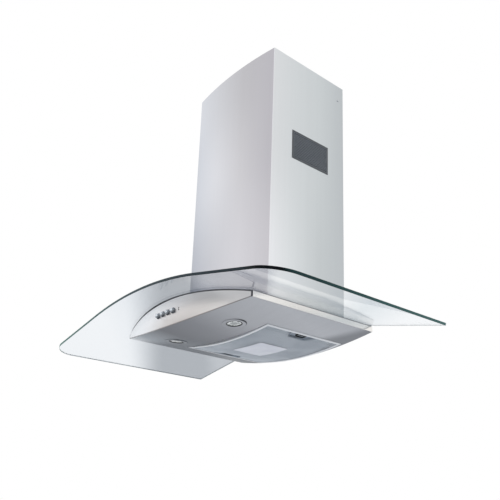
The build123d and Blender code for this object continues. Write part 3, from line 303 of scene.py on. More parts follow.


# %% Painted reflections on the sheets
def chimney_painted_reflections(steel):
    """Painted reflections: cool at the front's left edge, darker at its upper right; the sides darken towards
    the wall.
    """
    width = (steel.x, -0.16, 0.16)
    depth = (steel.y, -0.27, 0.0)
    low = steel.ramp(*width, (171, 175, 185), (184, 185, 191), (199, 198, 203), (201, 199, 204))
    middle = steel.ramp(*width, (198, 202, 210), (203, 204, 209), (194, 193, 197), (189, 187, 193))
    high = steel.ramp(*width, (210, 213, 220), (202, 203, 208), (191, 190, 194), (189, 187, 193))
    front = steel.blend(steel.fade(steel.z, -0.04, 0.26), low, middle)
    front = steel.blend(steel.fade(steel.z, 0.32, 0.50), front, high)
    low = steel.ramp(*depth, (238, 239, 242), (218, 222, 224), (197, 202, 204), (190, 195, 198))
    high = steel.ramp(*depth, (219, 221, 223), (209, 213, 215), (202, 207, 209), (187, 192, 195))
    flank = steel.blend(steel.fade(steel.z, -0.1, 0.3), low, high)
    return steel.blend(steel.fade(steel.x * steel.x, *CHIMNEY_EDGE), front, flank)


def fascia_painted_reflections_and_seams(steel):
    """Painted reflections, paler under the glass and towards the left, and dark lines for the seams with other
    sheets.
    """
    side = steel.x * steel.x
    above_pan = steel.z - PAN_LOW - side * (0.5 / PAN_RADIUS)
    room = BEND_RADIUS**2 - side
    above_glass = steel.z - BEND_HEIGHT - room.maths("SQRT", room)
    face = steel.ramp(above_pan, 0.002, 0.06, (188, 184, 182), (222, 218, 216), (255, 252, 250))
    face = steel.blend(steel.fade(steel.x, 0.03, -0.16), face, paint(254, 254, 255))
    face = steel.blend(steel.fade(steel.x, 0.05, 0.19), face, paint(231, 228, 226))
    face = steel.blend(steel.fade(above_pan, 0.0026, 0.0012, 0, 0.75), face, paint(110, 106, 106))
    end = steel.fade(side, *FASCIA_END)
    thicker = steel.fade(steel.x, 0.08, -0.08, -0.0012, 0.0012)
    top = steel.fade(above_glass + thicker, -0.0058, -0.0048) * steel.fade(steel.x, -0.24, -0.2)
    dark = steel.blend(steel.fade(steel.x, -0.10, 0.02), paint(30, 30, 34), paint(88, 88, 92))
    return steel.blend(end.maths("MAXIMUM", end, top), face, dark)


def pan_painted_reflections(steel):
    """Painted reflections: pale at the left tip, cool and dark along the left, pale again, dark at the rear
    right.
    """
    sweep = steel.ramp(
        steel.x + steel.y * 0.35, -0.39, 0.25, (255, 255, 255), (165, 173, 180), (110, 112, 118),
        (150, 151, 156), (199, 200, 203), (214, 215, 218), (204, 206, 210),
    )
    left = steel.fade(steel.x, 0.02, -0.14) * steel.fade(steel.y, -0.37, -0.28)
    sweep = steel.blend(left, sweep, paint(99, 106, 114))
    rear = steel.fade(steel.x, 0.08, 0.16) * steel.fade(steel.y - steel.x * 0.5, -0.18, -0.125)
    return steel.blend(rear, sweep, paint(154, 156, 160))


def side_painted_reflections(steel):
    """Painted reflections: bright at the front corner and towards the wall."""
    return steel.ramp(
        steel.y, -0.37, 0.0, (250, 248, 245), (229, 227, 224), (240, 238, 235), (241, 239, 236)
    )


def hidden_tint(steel):
    """The same mill grey all over."""
    return paint(190, 192, 194)[:3]


# %% Steel finishes
UPRIGHT = (1100, 1100, 7)
ACROSS_WALLS = (7, 7, 1100)
ALONG_X = (7, 1100, 1100)
chimney_steel = brushed("chimney steel", UPRIGHT, chimney_painted_reflections, 0.03)
fascia_steel = brushed("fascia steel", ACROSS_WALLS, fascia_painted_reflections_and_seams, 0.05)
side_steel = brushed("side strip steel", ACROSS_WALLS, side_painted_reflections, 0.05, 0.22)
pan_steel = brushed("pan steel", ALONG_X, pan_painted_reflections, 0.07, 0.34)
hidden_steel = brushed("hidden steel", ALONG_X, hidden_tint, 0.12, 0.38)

# %% [markdown]
# ## Plastic, rubber, paint and plating
#
# Everything that isn't brushed has an even surface: moulded plastic, rubber, motor paint, zinc plating, cast
# and expanded aluminium. They differ in colour, shine and grain, so one recipe with different numbers makes
# them all: fine noise for the pores, and slow noise for patches that are a little darker.

# %% Other finishes
FAINT = 0.94


def plain(name, colour, dark, roughness, metallic=0.0, grain=350, depth=0.00005, patches=14, **more):
    """A moulded, painted or cast surface: a fine even grain over a slow change of tone.

    colour may be a function that says the colour at each place, and its dark patches are then faint.
    """
    skin = Finish(name)
    if callable(colour):
        colour = colour(skin)
        dark = skin.blend(FAINT, dark, colour)
    pores = skin.noise((grain, grain, grain), 2.0, 0.6)
    clouds = skin.noise((patches, patches, patches), 3.0, 0.5)
    return skin.surface(
        Base_Color=skin.blend(skin.fade(clouds, 0.35, 0.65), dark, colour),
        Metallic=metallic,
        Roughness=roughness + (pores - 0.5) * 0.12,
        Normal=skin.bump(pores, depth, 0.5),
        **more,
    )


# %% Painted light on the gasket and the vents
VENT_Y, VENT_Z = -0.1243, 0.286
SLATS_ACROSS = (0.0590**2, 0.0580**2)
SLATS_OVER = (0.0345**2, 0.0335**2)


def gasket_tint(skin):
    """Black at the left, greyer where light from the right comes in under the glass."""
    return skin.ramp(
        skin.x, -0.12, 0.25, (10, 10, 12), (74, 75, 78), (118, 119, 122), (108, 109, 112), (150, 152, 156)
    )


def vent_painted_light(skin):
    """Painted light on the slats, which lie in shade, so they are paler than the flat frame round them."""
    across, over = skin.y - VENT_Y, skin.z - VENT_Z
    slats = skin.fade(across * across, *SLATS_ACROSS) * skin.fade(over * over, *SLATS_OVER)
    return skin.blend(slats, paint(84, 88, 92), paint(130, 135, 141))


# %% The even finishes
rubber = plain("black rubber", paint(20, 20, 22), paint(14, 14, 16), 0.8, Specular_IOR_Level=0.15)
gasket_rubber = plain("gasket rubber", gasket_tint, paint(14, 14, 16), 0.8, Specular_IOR_Level=0.15)
grey_plastic = plain("grey moulded plastic", paint(134, 139, 145), paint(126, 131, 137), 0.6)
vent_plastic = plain("vent plastic", vent_painted_light, paint(126, 131, 137), 0.6)
dark_plastic = plain("dark switch plastic", paint(48, 49, 52), paint(38, 39, 42), 0.5)
motor_paint = plain("motor paint", paint(60, 63, 68), paint(50, 52, 57), 0.42)
zinc = plain("zinc plating", paint(194, 198, 202), paint(180, 185, 190), 0.38, 1.0, patches=110)
chrome = plain("polished chrome", paint(222, 224, 228), paint(208, 210, 214), 0.1, 1.0, depth=0.00001)
cast = plain("cast aluminium", paint(178, 180, 182), paint(160, 162, 164), 0.5, 1.0, 700, 0.0001)
mesh_metal = plain("filter aluminium", paint(238, 242, 246), paint(224, 229, 234), 0.4, 0.9)
inner_metal = plain("filter inside", paint(188, 195, 202), paint(172, 180, 188), 0.5, 0.9)
trim_metal = plain("filter trim", paint(250, 251, 252), paint(240, 242, 244), 0.3, 1.0)
print("finishes so far:", len(bpy.data.materials))

# %% [markdown]
# ## Which finish each node gets
#
# The model's own nodes stay as they are where their shape is right, and only their material slots change.

# %% Finish of each node
FINISHES = {
    node: finish
    for finish, nodes in (
        (chimney_steel, "chimney_cover chimney_screws"),
        (fascia_steel, "front_fascia"),
        (side_steel, "side_panel_left side_panel_right"),
        (pan_steel, "bottom_pan"),
        (hidden_steel, "rear_panel top_plate blower_casing"),
        (rubber, "plate_pad casing_pad glass_bushes mount_bushes cord_gland"),
        (gasket_rubber, "glass_gasket"),
        (zinc, "chimney_bracket mounting_plate clamp_bolts clamp_nuts collar_screws"),
        (zinc, "scroll_front scroll_rear motor_mount impeller_nut"),
        (motor_paint, "motor_body"),
        (cast, "impeller"),
        (chrome, "motor_shaft button_1 button_2 button_3 button_4 button_bezels"),
        (chrome, "lamp_holder_left lamp_holder_right lamp_lens_left lamp_lens_right"),
        (dark_plastic, "outlet_collar flap_left flap_right junction_box junction_lid"),
        (dark_plastic, "switch_block indicator_leds latch_left latch_right"),
        (grey_plastic, "capacitor"),
        (vent_plastic, "vent_grille_left vent_grille_right"),
        (trim_metal, "lamp_bezel_left lamp_bezel_right filter_frame"),
        (mesh_metal, "filter_mesh_lower latch_tray_left latch_tray_right"),
        (inner_metal, "filter_mesh_upper filter_core"),
    )
    for node in nodes.split()
}
for name, finish in FINISHES.items():
    for material_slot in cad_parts[name].material_slots:
        material_slot.material = finish
print("nodes without a finish:", sorted(set(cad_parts) - set(FINISHES)))

# %% [markdown]
# ## Smooth sheets
#
# The model's curved sheets are made of flat facets. A copy of such a mesh has its loose triangles joined, and
# is shaded smooth wherever two facets meet at a small angle, so the bend shows one clean reflection and the
# cut edges stay crisp.


# %% Smooth copies
TOUCHING = 0.000002


def deselect():
    bpy.ops.object.select_all(action="DESELECT")


def choose(piece):
    """Makes piece the only selected object, and the active one."""
    deselect()
    piece.select_set(True)
    bpy.context.view_layer.objects.active = piece


def smooth_copy(node, body="hood", sharp=35.0):
    """A joined, smooth copy of a node's mesh that stands for the node."""
    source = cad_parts[node]
    piece = bpy.data.objects.new(node + "_smooth", source.data.copy())
    bpy.context.collection.objects.link(piece)
    choose(piece)
    bpy.ops.mesh.customdata_custom_splitnormals_clear()
    bpy.ops.object.mode_set(mode="EDIT")
    bpy.ops.mesh.select_all(action="SELECT")
    bpy.ops.mesh.remove_doubles(threshold=TOUCHING)
    bpy.ops.object.mode_set(mode="OBJECT")
    bpy.ops.object.shade_smooth_by_angle(angle=radians(sharp))
    piece.data.materials.clear()
    piece.data.materials.append(FINISHES[node])
    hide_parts(node)
    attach(piece, body)
    return piece


for node in (
    "front_fascia", "side_panel_left", "side_panel_right", "bottom_pan", "glass_gasket", "top_plate",
    "chimney_cover", "outlet_collar", "motor_body", "scroll_front", "scroll_rear",
):
    smooth_copy(node)
smooth_copy("filter_frame", "filter")
rotor = smooth_copy("impeller", "impeller")
print("impeller:", len(rotor.data.vertices), "vertices after joining")

# %% [markdown]
# ## Glass
#
# The canopy is one sheet of 6 mm glass, bent to an arc over the middle and straight in both wings. A bend is
# a spin: the crown's line, from the wall to the front, is spun about the bend's axis, and its last line is
# then extruded along the wing. Only one half is made. It gets its rounded front corner, is mirrored, and is
# thickened. The rim has a material of its own, because the edge of clear glass looks dark green. The tints
# of the sheet stand for the room that it mirrors. They run along the camera's own horizontal, so they too are
# right for that view alone.

# %% Clear glass
ALONG_PICTURE = (0.634, 0.773)
BODY_FRONT = 0.417
BODY_BOW = 0.903

clear = Finish("clear glass")
across = clear.x * ALONG_PICTURE[0] + clear.y * ALONG_PICTURE[1]
body_front = clear.x * clear.x * BODY_BOW - BODY_FRONT
over_body = clear.fade(clear.x * clear.x, 0.2475**2, 0.243**2)
over_body = over_body * clear.fade(clear.y - body_front, 0.012, 0.02)
left_wing = clear.fade(clear.x, -0.1, -0.2, 0.0, 0.65)
# Painted shade seen through the glass: a grey patch towards the front left, kept off where the body lies
# behind.
painted_shade_through_glass = clear.fade(clear.x * 0.63 + clear.y, -0.545, -0.42)
painted_shade_through_glass = painted_shade_through_glass * clear.fade(across, -0.22, -0.275, left_wing) * (1 - over_body)
front_glass = clear.ramp(
    across, -0.5, -0.12, (244, 247, 250), (230, 235, 240), (221, 225, 230), (211, 214, 219)
)
wing_glass = clear.ramp(across, 0.0, 0.2, (254, 255, 255), (216, 224, 229), (241, 244, 247))
sheet_glass = clear.blend(clear.fade(across, -0.115, -0.08), front_glass, wing_glass)
clear_glass = clear.surface(
    Base_Color=clear.blend(painted_shade_through_glass, sheet_glass, paint(176, 181, 187)),
    Roughness=0.0,
    IOR=1.15,
    Specular_IOR_Level=0.3,
    Transmission_Weight=1.0,
)

# %% Glass rim
rim = Finish("glass rim")
# The rim's dark green is the glass's own colour. Its fall from paler at the left to near black at the right
# and its change along the right edge are painted light and shade, and the pale back and far left edges are
# painted highlights.
front_rim = rim.ramp(
    rim.x, -0.45, 0.35, (104, 146, 136), (92, 122, 118), (74, 90, 94), (54, 66, 72), (40, 50, 56)
)
front_rim = rim.blend(rim.fade(rim.x, 0.35, 0.40), front_rim, paint(10, 16, 20))
right_rim = rim.ramp(rim.y, -0.4, 0.0, (40, 66, 66), (66, 100, 98), (88, 122, 118))
near_rim = rim.blend(rim.fade(rim.x, 0.440, 0.4497), front_rim, right_rim)
far_rim = rim.fade(rim.y, -0.004, -0.002) + rim.fade(rim.x, -0.440, -0.446)
glass_rim = rim.surface(
    Base_Color=rim.blend(far_rim.maths("MINIMUM", far_rim, 1.0), near_rim, paint(236, 241, 242)),
    Roughness=0.3,
    Specular_IOR_Level=0.05,
)


# %% Picking vertices by place
def pick(piece, wanted):
    """In edit mode, selects just the vertices whose place wanted says yes to, and counts them."""
    mesh = bmesh.from_edit_mesh(piece.data)
    for part in (*mesh.faces, *mesh.edges, *mesh.verts):
        part.select = False
    for vert in mesh.verts:
        vert.select = bool(wanted(vert.co))
    mesh.select_flush_mode()
    bmesh.update_edit_mesh(piece.data)
    return sum(vert.select for vert in mesh.verts)


def extrude(*step):
    """Extrudes what is selected by one step, and leaves the new end selected."""
    bpy.ops.mesh.extrude_region_move(TRANSFORM_OT_translate={"value": step})


def shape_with(piece, kind, **settings):
    """Adds a modifier with those settings and applies it."""
    choose(piece)
    modifier = piece.modifiers.new(kind.lower(), kind)
    for key, value in settings.items():
        setattr(modifier, key, value)
    bpy.ops.object.modifier_apply(modifier=modifier.name)


# %% Glass: half of the sheet
THICKNESS = 0.006
GLASS_HALF = 0.45
GLASS_BACK = -0.0005
GLASS_FRONT = -0.495
CORNER = 0.057
BEND_HALF = 0.211
BEND_AXIS = Vector((0, 0, BEND_HEIGHT))
BEND = asin(BEND_HALF / BEND_RADIUS)
WING = (GLASS_HALF - THICKNESS * sin(BEND) - BEND_HALF) / cos(BEND)
CLOSE = 0.0005

deselect()
bpy.ops.mesh.primitive_plane_add(size=1, location=(0.5, -0.5, BEND_AXIS.z + BEND_RADIUS))
glass = bpy.context.object
glass.name = glass.data.name = "glass_sheet"
bpy.ops.object.transform_apply(location=True, rotation=True, scale=True)
bpy.ops.object.mode_set(mode="EDIT")
pick(glass, lambda co: co.x > 0.5)
bpy.ops.mesh.delete(type="VERT")
pick(glass, lambda co: co.y > -0.5)
bpy.ops.transform.translate(value=(0, GLASS_BACK, 0))
pick(glass, lambda co: co.y < -0.5)
bpy.ops.transform.translate(value=(0, GLASS_FRONT + 1, 0))
bpy.ops.mesh.select_all(action="SELECT")
bpy.ops.mesh.spin(steps=32, angle=BEND, center=BEND_AXIS, axis=(0, 1, 0))
end = max((vert.co for vert in bmesh.from_edit_mesh(glass.data).verts), key=lambda co: abs(co.x))
print("the arc ends at", [round(v, 4) for v in end])
outwards = 1 if end.x > 0 else -1
pick(glass, lambda co: abs(co.x) > BEND_HALF - CLOSE)
extrude(outwards * WING * cos(BEND), 0, -WING * sin(BEND))
print("corner verts", pick(glass, lambda co: abs(co.x) > GLASS_HALF - 0.01 and co.y < -0.4))
bpy.ops.mesh.bevel(offset=CORNER, segments=16, affect="VERTICES")
bpy.ops.mesh.select_all(action="SELECT")
bpy.ops.mesh.normals_make_consistent(inside=False)
bpy.ops.object.mode_set(mode="OBJECT")
print("sheet faces up:", sum(face.normal.z > 0 for face in glass.data.polygons), len(glass.data.polygons))

# %% Glass: mirrored and thickened
if sum(face.normal.z for face in glass.data.polygons) < 0:
    glass.data.flip_normals()
glass.data.materials.append(clear_glass)
glass.data.materials.append(glass_rim)
shape_with(glass, "MIRROR", use_clip=True, merge_threshold=0.00001)
shape_with(glass, "SOLIDIFY", thickness=THICKNESS, offset=1.0, material_offset_rim=1)
print("sheet with both wings:", len(glass.data.polygons), "faces")

# %% Glass: pierced for the blower
OPENING = (0.236, 0.188, 0.1)
OPENING_MIDDLE = (0, -0.12, -0.14)
OPENING_CORNER = 0.02

deselect()
bpy.ops.mesh.primitive_cube_add(size=1, location=OPENING_MIDDLE, scale=OPENING)
cutter = bpy.context.object
bpy.ops.object.transform_apply(location=True, rotation=True, scale=True)
cutter.data.materials.append(glass_rim)
bpy.ops.object.mode_set(mode="EDIT")
mesh = bmesh.from_edit_mesh(cutter.data)
for edge in mesh.edges:
    edge.select = abs(edge.verts[0].co.z - edge.verts[1].co.z) > OPENING[2] / 2
bmesh.update_edit_mesh(cutter.data)
bpy.ops.mesh.bevel(offset=OPENING_CORNER, segments=8, affect="EDGES")
bpy.ops.object.mode_set(mode="OBJECT")
shape_with(glass, "BOOLEAN", object=cutter, operation="DIFFERENCE", solver="EXACT", material_mode="TRANSFER")
bpy.data.objects.remove(cutter)

# %% Glass: polished edge
shape_with(glass, "BEVEL", width=0.0009, segments=3, limit_method="ANGLE", angle_limit=radians(50))
choose(glass)
bpy.ops.object.shade_smooth_by_angle(angle=radians(40))
shape_with(glass, "WEIGHTED_NORMAL", weight=100, keep_sharp=True)
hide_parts("glass_canopy")
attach(glass, "hood")
mesh = bmesh.new()
mesh.from_mesh(glass.data)
print("glass faces", len(mesh.faces), "volume in cm3", round(mesh.calc_volume(signed=True) * 1e6, 1))
mesh.free()

# %% [markdown]
# ## Turned pieces
#
# Lamp rings, lenses, buttons, their bezels and the small lights are all round, so they are turned: a profile
# is drawn by extruding one point from corner to corner, and is then spun a full turn about its axis. The
# profile's numbers are radius and height in millimetres, as a lathe drawing gives them.


# %% Turning
MM = 1000


def standing(origin, axis, across=(0, 1, 0)):
    """A place at origin whose z axis points along axis."""
    z = Vector(axis).normalized()
    y = Vector(across)
    x = y.cross(z).normalized()
    return Matrix.Translation(origin) @ Matrix((x, z.cross(x), z)).transposed().to_4x4()


def turned(name, place, profile, finish, body="hood", steps=56, sharp=35.0):
    """A round piece whose profile of (radius, height) points in mm is spun about place's z axis."""
    deselect()
    bpy.ops.mesh.primitive_plane_add(size=0.001, location=(0, 0, 0))
    piece = bpy.context.object
    piece.name = piece.data.name = name
    bpy.ops.object.mode_set(mode="EDIT")
    bpy.ops.mesh.merge(type="CENTER")
    bpy.ops.transform.translate(value=(profile[0][0] / MM, 0, profile[0][1] / MM))
    for before, after in zip(profile, profile[1:]):
        extrude((after[0] - before[0]) / MM, 0, (after[1] - before[1]) / MM)
    bpy.ops.mesh.select_all(action="SELECT")
    bpy.ops.mesh.spin(steps=steps, angle=2 * pi, center=(0, 0, 0), axis=(0, 0, 1))
    bpy.ops.mesh.select_all(action="SELECT")
    bpy.ops.mesh.remove_doubles(threshold=2 * TOUCHING)
    bpy.ops.mesh.normals_make_consistent(inside=False)
    bpy.ops.object.mode_set(mode="OBJECT")
    piece.matrix_world = place
    bpy.ops.object.transform_apply(location=True, rotation=True, scale=True)
    bpy.ops.object.shade_smooth_by_angle(angle=radians(sharp))
    piece.data.materials.append(finish)
    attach(piece, body)
    return piece


# %% [markdown]
# ## Lamps
#
# Each lamp is a low steel ring with a rolled edge, a black seat round the lamp, and a lamp glass behind it.
# The pan is a bowl, so each lamp is tilted to stand square to it. The ring carries the pan's painted
# reflections, and only a thin dark joint tells it from the pan. Towards the camera's right the joint is
# darkened by painted shade.

# %% Lamp finishes
LAMP_X = 0.116
LAMP_Y = -0.315
LAMP_SLOPE = 18.6


def from_lamp(finish):
    """Square of the distance from the nearer lamp's axis.

    Using x * x serves both lamps at once, and LAMP_SLOPE, about 1 / (2 * LAMP_X)**2, turns it into metres.
    """
    off_x, off_y = finish.x * finish.x - LAMP_X**2, finish.y - LAMP_Y
    return off_x * off_x * LAMP_SLOPE + off_y * off_y


black_enamel = plain("black enamel", paint(30, 32, 33), paint(24, 26, 27), 0.4)
# Painted glints: bright specks where the lamp glass's facets catch the light, kept off its dark middle. A
# faint emission lifts the whole glass.
bulb = Finish("lamp glass")
facets = bulb.noise((260, 260, 260), 1.0, 0.4)
glint_ring = bulb.fade(from_lamp(bulb), 0.00003, 0.00012)
painted_glints = bulb.fade(facets, 0.42, 0.58) * glint_ring
lamp_glass = bulb.surface(
    Base_Color=bulb.blend(painted_glints, paint(70, 78, 80), paint(250, 252, 250)),
    Roughness=0.12,
    Coat_Weight=0.6,
    Emission_Color=(0.86, 0.9, 0.88, 1.0),
    Emission_Strength=0.18,
    Normal=bulb.bump(facets, 0.0006, 0.8),
)

# %% Ring finish
RING_LINE = (0.0268**2, 0.0277**2)
RING_REACH = 0.028


def ring_painted_reflections_and_joint(steel):
    """The pan's painted reflections, with a dark joint round the ring's outer edge, deepened towards its right
    as painted shade.
    """
    mirrored = steel.x / (steel.x * steel.x).maths("SQRT", steel.x * steel.x)
    turn = ((steel.x - mirrored * LAMP_X) * 0.63 + (steel.y - LAMP_Y) * 0.77) * (1 / RING_REACH)
    line = steel.fade(from_lamp(steel), *RING_LINE) * steel.fade(turn, -0.2, 0.85, 0.25, 1.0)
    return steel.blend(line, pan_painted_reflections(steel), paint(60, 64, 68))


ring_steel = brushed("lamp ring steel", ALONG_X, ring_painted_reflections_and_joint, 0.04, 0.3)

# %% Lamp rings and glasses
RING = [
    (18.6, -0.15), (18.6, -0.5), (18.8, -0.7), (19.2, -0.8), (26.6, -0.8), (27.5, -0.7), (28.2, -0.45),
    (28.5, -0.15), (24.6, -0.15), (24.6, 12.0), (23.6, 12.0), (23.6, -0.15), (18.6, -0.15),
]
GLASS = [(0, -0.1), (5, -0.05), (10, 0.1), (14, 0.35), (16.5, 0.7), (16.5, 2.05), (0, 2.05)]
tilt = asin(LAMP_X / PAN_RADIUS)
for side, word in ((1, "right"), (-1, "left")):
    foot = (side * LAMP_X, LAMP_Y, PAN_LOW + PAN_RADIUS * (1 - cos(tilt)))
    place = standing(foot, (-side * sin(tilt), 0, cos(tilt)))
    ring = turned(f"lamp_ring_{word}", place, RING, ring_steel, steps=72)
    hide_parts(f"lamp_bezel_{word}")
    glass_face = turned(f"lamp_glass_{word}", place, GLASS, lamp_glass, steps=64)
    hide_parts(f"lamp_lens_{word}")
    FINISHES[f"lamp_holder_{word}"] = black_enamel
    smooth_copy(f"lamp_holder_{word}")
print("lamps stand at", [round(v, 4) for v in foot])

# %% [markdown]
# ## Buttons and lights
#
# Four chrome buttons stand in turned bezels. Each face is dished by a fraction of a millimetre, and its edge
# is rolled, which gives such a small button its bright rim. Its dark lower side is a painted reflection in the
# chrome's colour, and so is the darker lower half of each bezel.

# %% Button finishes
BUTTON_HEIGHT = -0.1746


def chrome_with_painted_reflection(name, edge, spread, low, high, roughness):
    """Chrome with a painted reflection of the dark room below: low under the height edge, high over it."""
    metal = Finish(name)
    half = metal.fade(metal.z, BUTTON_HEIGHT + edge - spread, BUTTON_HEIGHT + edge + spread)
    return metal.surface(Base_Color=metal.blend(half, low, high), Metallic=1.0, Roughness=roughness)


# Painted reflections: buttons and bezels are darker below a set height on the fascia.
button_chrome = chrome_with_painted_reflection("button chrome", -0.0016, 0.0020, paint(148, 152, 157), paint(214, 218, 222), 0.2)
bezel_chrome = chrome_with_painted_reflection("bezel chrome", -0.0006, 0.0036, paint(102, 106, 110), paint(160, 164, 169), 0.2)

# %% Buttons
STEM = 15


def facing_front(origin):
    """A place at origin whose z axis points to the front."""
    return standing(origin, (0, -1, 0), (1, 0, 0))


for number in (1, 2, 3, 4):
    low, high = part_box(f"button_{number}")
    deep = (high.y - low.y) * MM
    cap = deep - STEM
    place = facing_front(((low.x + high.x) / 2, low.y, (low.z + high.z) / 2))
    profile = [
        (0, -0.35), (2.4, -0.22), (3.6, -0.03), (4.1, 0.0), (4.6, -0.12), (5.0, -0.5), (5.25, -1.2),
        (5.25, -cap), (3.0, -cap), (3.0, -deep), (0, -deep),
    ]
    name = f"push_button_{number}"
    button = turned(name, place, profile, button_chrome, f"button_{number}")
    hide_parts(f"button_{number}")
print("a button is", round(deep, 2), "mm deep, and its cap", round(cap, 2))

# %% Bezels
BEZEL = [
    (5.55, 1.3), (5.8, 1.6), (6.4, 1.6), (6.75, 1.35), (7.1, 0.5), (7.2, 0.0), (6.15, 0.0), (6.15, -6.0),
    (5.55, -6.0), (5.55, 1.3),
]
BEZEL_SEAT = 0.0061

low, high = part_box("button_bezels")
print("bezels in the model reach from", [round(v, 4) for v in low], "to", [round(v, 4) for v in high])
seats = [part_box(f"button_{number}") for number in (1, 2, 3, 4)]
rings = []
for number, (low, high) in enumerate(seats, start=1):
    place = facing_front(((low.x + high.x) / 2, low.y + BEZEL_SEAT, (low.z + high.z) / 2))
    rings.append(turned(f"bezel_{number}", place, BEZEL, bezel_chrome))
deselect()
for ring in rings:
    ring.select_set(True)
bpy.context.view_layer.objects.active = rings[0]
bpy.ops.object.join()
rings[0].name = rings[0].data.name = "bezels"
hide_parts("button_bezels")

# %% Indicator lights
LED_IN = 0.0015
lens_finish = plain("smoked lens", paint(12, 11, 13), paint(8, 8, 9), 0.5, Specular_IOR_Level=0.05)
low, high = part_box("indicator_leds")
middle = (low.x + high.x) / 2
reach = (high.y - low.y) * MM
LED = [(0, 0.0), (0.6, -0.06), (1.3, -0.3), (1.8, -0.6), (2.05, -1.0), (2.05, -reach), (0, -reach)]
for word, height in (("upper", high.z - LED_IN), ("lower", low.z + LED_IN)):
    place = facing_front((middle, low.y, height))
    turned(f"light_{word}", place, LED, lens_finish, steps=32)
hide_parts("indicator_leds")
print("lights reach", round(reach, 2), "mm into the fascia")

# %% [markdown]
# ## Filter face
#
# A grease filter is layers of expanded aluminium: sheet that is slit and pulled into diamonds. The face layer
# is a grid turned by 45 degrees and squeezed, cut to size, and given real strands by the Wireframe modifier.
# The whole filter is bent to a shallow bowl, so its height follows the same arc as the frame's.

# %% Places on the filter
FILTER_RADIUS = 0.954538
FILTER_LOW = -0.212211
FILTER_MIDDLE = -0.131
LAYER = 0.0011
TRAY_X = 0.1365
TRAY_HALF = 0.013
TRAY_INNER = 0.028
TRAY_OUTER = 0.041


def bowl(x):
    """Height of the filter's underside at x."""
    return FILTER_LOW + FILTER_RADIUS - sqrt(FILTER_RADIUS**2 - x * x)


def in_tray(co):
    """Whether a point of the face lies in one of the latch recesses."""
    beyond = abs(co.x) - (TRAY_X - TRAY_HALF)
    slope = (TRAY_OUTER - TRAY_INNER) / (2 * TRAY_HALF)
    return beyond > -0.001 and abs(co.y) < TRAY_INNER + slope * beyond + 0.0005


print("the filter rises", round((bowl(TRAY_X) - bowl(0)) * MM, 1), "mm from its middle to the latches")

# %% Expanded mesh: a grid of diamonds
MESH_HALF = (0.1555, 0.1200)
CELL = (0.0078, 0.0046)

count = int(2 * MESH_HALF[0] / CELL[0]) + int(2 * MESH_HALF[1] / CELL[1]) + 4
deselect()
bpy.ops.mesh.primitive_grid_add(x_subdivisions=count, y_subdivisions=count, size=count, location=(0, 0, 0))
face_mesh = bpy.context.object
face_mesh.name = face_mesh.data.name = "filter_face"
face_mesh.rotation_euler = (0, 0, radians(45))
bpy.ops.object.transform_apply(location=True, rotation=True, scale=True)
face_mesh.scale = (CELL[0] / sqrt(2), CELL[1] / sqrt(2), 1)
bpy.ops.object.transform_apply(location=True, rotation=True, scale=True)
bpy.ops.object.mode_set(mode="EDIT")
for normal in ((1, 0, 0), (-1, 0, 0), (0, 1, 0), (0, -1, 0)):
    bpy.ops.mesh.select_all(action="SELECT")
    edge = tuple(n * half for n, half in zip(normal, (*MESH_HALF, 0)))
    bpy.ops.mesh.bisect(plane_co=edge, plane_no=normal, clear_outer=True)
print("verts in the latch recesses", pick(face_mesh, in_tray))
bpy.ops.mesh.delete(type="VERT")
bpy.ops.object.mode_set(mode="OBJECT")

# %% Expanded mesh: strands
STRAND = 0.0009
FLATTENED = 0.8
SEAT = 0.0004

shape_with(face_mesh, "WIREFRAME", thickness=STRAND, use_even_offset=False)
for vert in face_mesh.data.vertices:
    vert.co.y += FILTER_MIDDLE
    vert.co.z = vert.co.z * FLATTENED + bowl(vert.co.x) + LAYER + SEAT
face_mesh.data.materials.append(mesh_metal)
print("filter face triangles", sum(len(face.vertices) - 2 for face in face_mesh.data.polygons))
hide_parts("filter_mesh_lower")
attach(face_mesh, "filter")

# %% [markdown]
# ## Bare plate on the filter
#
# The middle of the filter carries a thin plain plate. A grid of strips is scaled to the plate's size, its
# corners are rounded, it is bent like the filter and given the thickness of foil.

# %% Bare plate
PLATE = (0.109, 0.0901)
PLATE_Y = -0.13875
PLATE_CORNER = 0.002
BELOW_MESH = 0.0005
FOIL = 0.0004

plate_finish = plain("bare plate", paint(244, 246, 252), paint(234, 236, 244), 0.42, 0.6)
deselect()
bpy.ops.mesh.primitive_grid_add(x_subdivisions=24, y_subdivisions=1, size=1, location=(0, PLATE_Y, 0))
plate = bpy.context.object
plate.name = plate.data.name = "bare_plate"
bpy.ops.object.mode_set(mode="EDIT")
bpy.ops.transform.resize(value=(*PLATE, 1))
print("plate's corners:", pick(plate, lambda co: abs(co.x) > PLATE[0] / 2 - 0.0001))
bpy.ops.mesh.bevel(offset=PLATE_CORNER, segments=4, affect="VERTICES")
bpy.ops.object.mode_set(mode="OBJECT")
bpy.ops.object.transform_apply(location=True, rotation=True, scale=True)
for vert in plate.data.vertices:
    vert.co.z = bowl(vert.co.x) + LAYER - BELOW_MESH
shape_with(plate, "SOLIDIFY", thickness=FOIL, offset=0.0)
choose(plate)
bpy.ops.object.shade_smooth_by_angle(angle=radians(35))
plate.data.materials.append(plate_finish)
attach(plate, "filter")

# %% [markdown]
# ## Finger latches
#
# At either side of the filter a shallow pressed recess takes a fingertip, and a black D-shaped pull slides in
# it. The recess starts as one four-sided face. It is inset for the flange, its middle is pushed in with a
# little draft, its edges are rolled and the sheet is thickened. A slit in its outer wall lets the pull's
# tongue through.

# %% A pressed recess
FLANGE = 0.0006
DEPTH = 0.0056
DRAFT = (0.985, 0.995, 1)
ROLLED_EDGE = 0.0005
SHEET = 0.0004
SLIT = (0.004, 0.0128, 0.0029)
SLIT_MIDDLE = (0.012, 0, 0.0039)


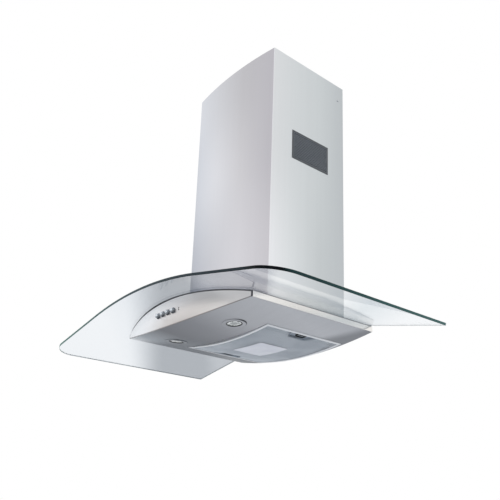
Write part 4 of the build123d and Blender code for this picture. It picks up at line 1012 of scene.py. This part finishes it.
def pressed(name):
    """A recess at the origin, narrow towards -x, with its slit in the wall at +x."""
    deselect()
    bpy.ops.mesh.primitive_plane_add(size=2 * TRAY_HALF, location=(0, 0, 0))
    recess = bpy.context.object
    recess.name = recess.data.name = name
    for vert in recess.data.vertices:
        vert.co.y *= (TRAY_INNER if vert.co.x < 0 else TRAY_OUTER) / TRAY_HALF
    bpy.ops.object.mode_set(mode="EDIT")
    bpy.ops.mesh.select_all(action="SELECT")
    bpy.ops.mesh.inset(thickness=FLANGE, depth=0)
    extrude(0, 0, DEPTH)
    bpy.ops.transform.resize(value=DRAFT)
    bpy.ops.mesh.select_all(action="SELECT")
    bpy.ops.mesh.normals_make_consistent(inside=False)
    bpy.ops.object.mode_set(mode="OBJECT")
    shape_with(recess, "BEVEL", width=ROLLED_EDGE, segments=3, limit_method="ANGLE", angle_limit=radians(40))
    shape_with(recess, "SOLIDIFY", thickness=SHEET, offset=0.0)
    deselect()
    bpy.ops.mesh.primitive_cube_add(size=1, location=SLIT_MIDDLE, scale=SLIT)
    slit = bpy.context.object
    bpy.ops.object.transform_apply(location=True, rotation=True, scale=True)
    shape_with(recess, "BOOLEAN", object=slit, operation="DIFFERENCE", solver="EXACT")
    bpy.data.objects.remove(slit)
    return recess


# %% Latch recesses and pulls
SUNK = 0.0008
PULL_EDGE = 0.0003

recess_finish = plain("pressed aluminium", paint(178, 186, 194), paint(170, 178, 187), 0.4, 0.9)
pull_finish = plain("black pull", paint(16, 16, 17), paint(12, 12, 13), 0.5, Specular_IOR_Level=0.2)
latch_tilt = asin(TRAY_X / FILTER_RADIUS)
for side, word in ((1, "right"), (-1, "left")):
    recess = pressed(f"latch_recess_{word}")
    print(recess.name, "has", len(recess.data.polygons), "faces")
    choose(recess)
    foot = Matrix.Translation((side * TRAY_X, FILTER_MIDDLE, bowl(TRAY_X)))
    lean = Matrix.Rotation(-side * latch_tilt, 4, "Y") @ Matrix.Translation((0, 0, SUNK))
    recess.matrix_world = foot @ lean @ Matrix.Rotation(0 if side > 0 else pi, 4, "Z")
    bpy.ops.object.transform_apply(location=True, rotation=True, scale=True)
    bpy.ops.object.shade_smooth_by_angle(angle=radians(35))
    recess.data.materials.append(recess_finish)
    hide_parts(f"latch_tray_{word}")
    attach(recess, "filter")

    FINISHES[f"latch_{word}"] = pull_finish
    pull = smooth_copy(f"latch_{word}", f"latch_{word}")
    shape_with(pull, "BEVEL", width=PULL_EDGE, segments=2, limit_method="ANGLE", angle_limit=radians(50))
print("latches lean by", round(latch_tilt / radians(1), 2), "degrees")
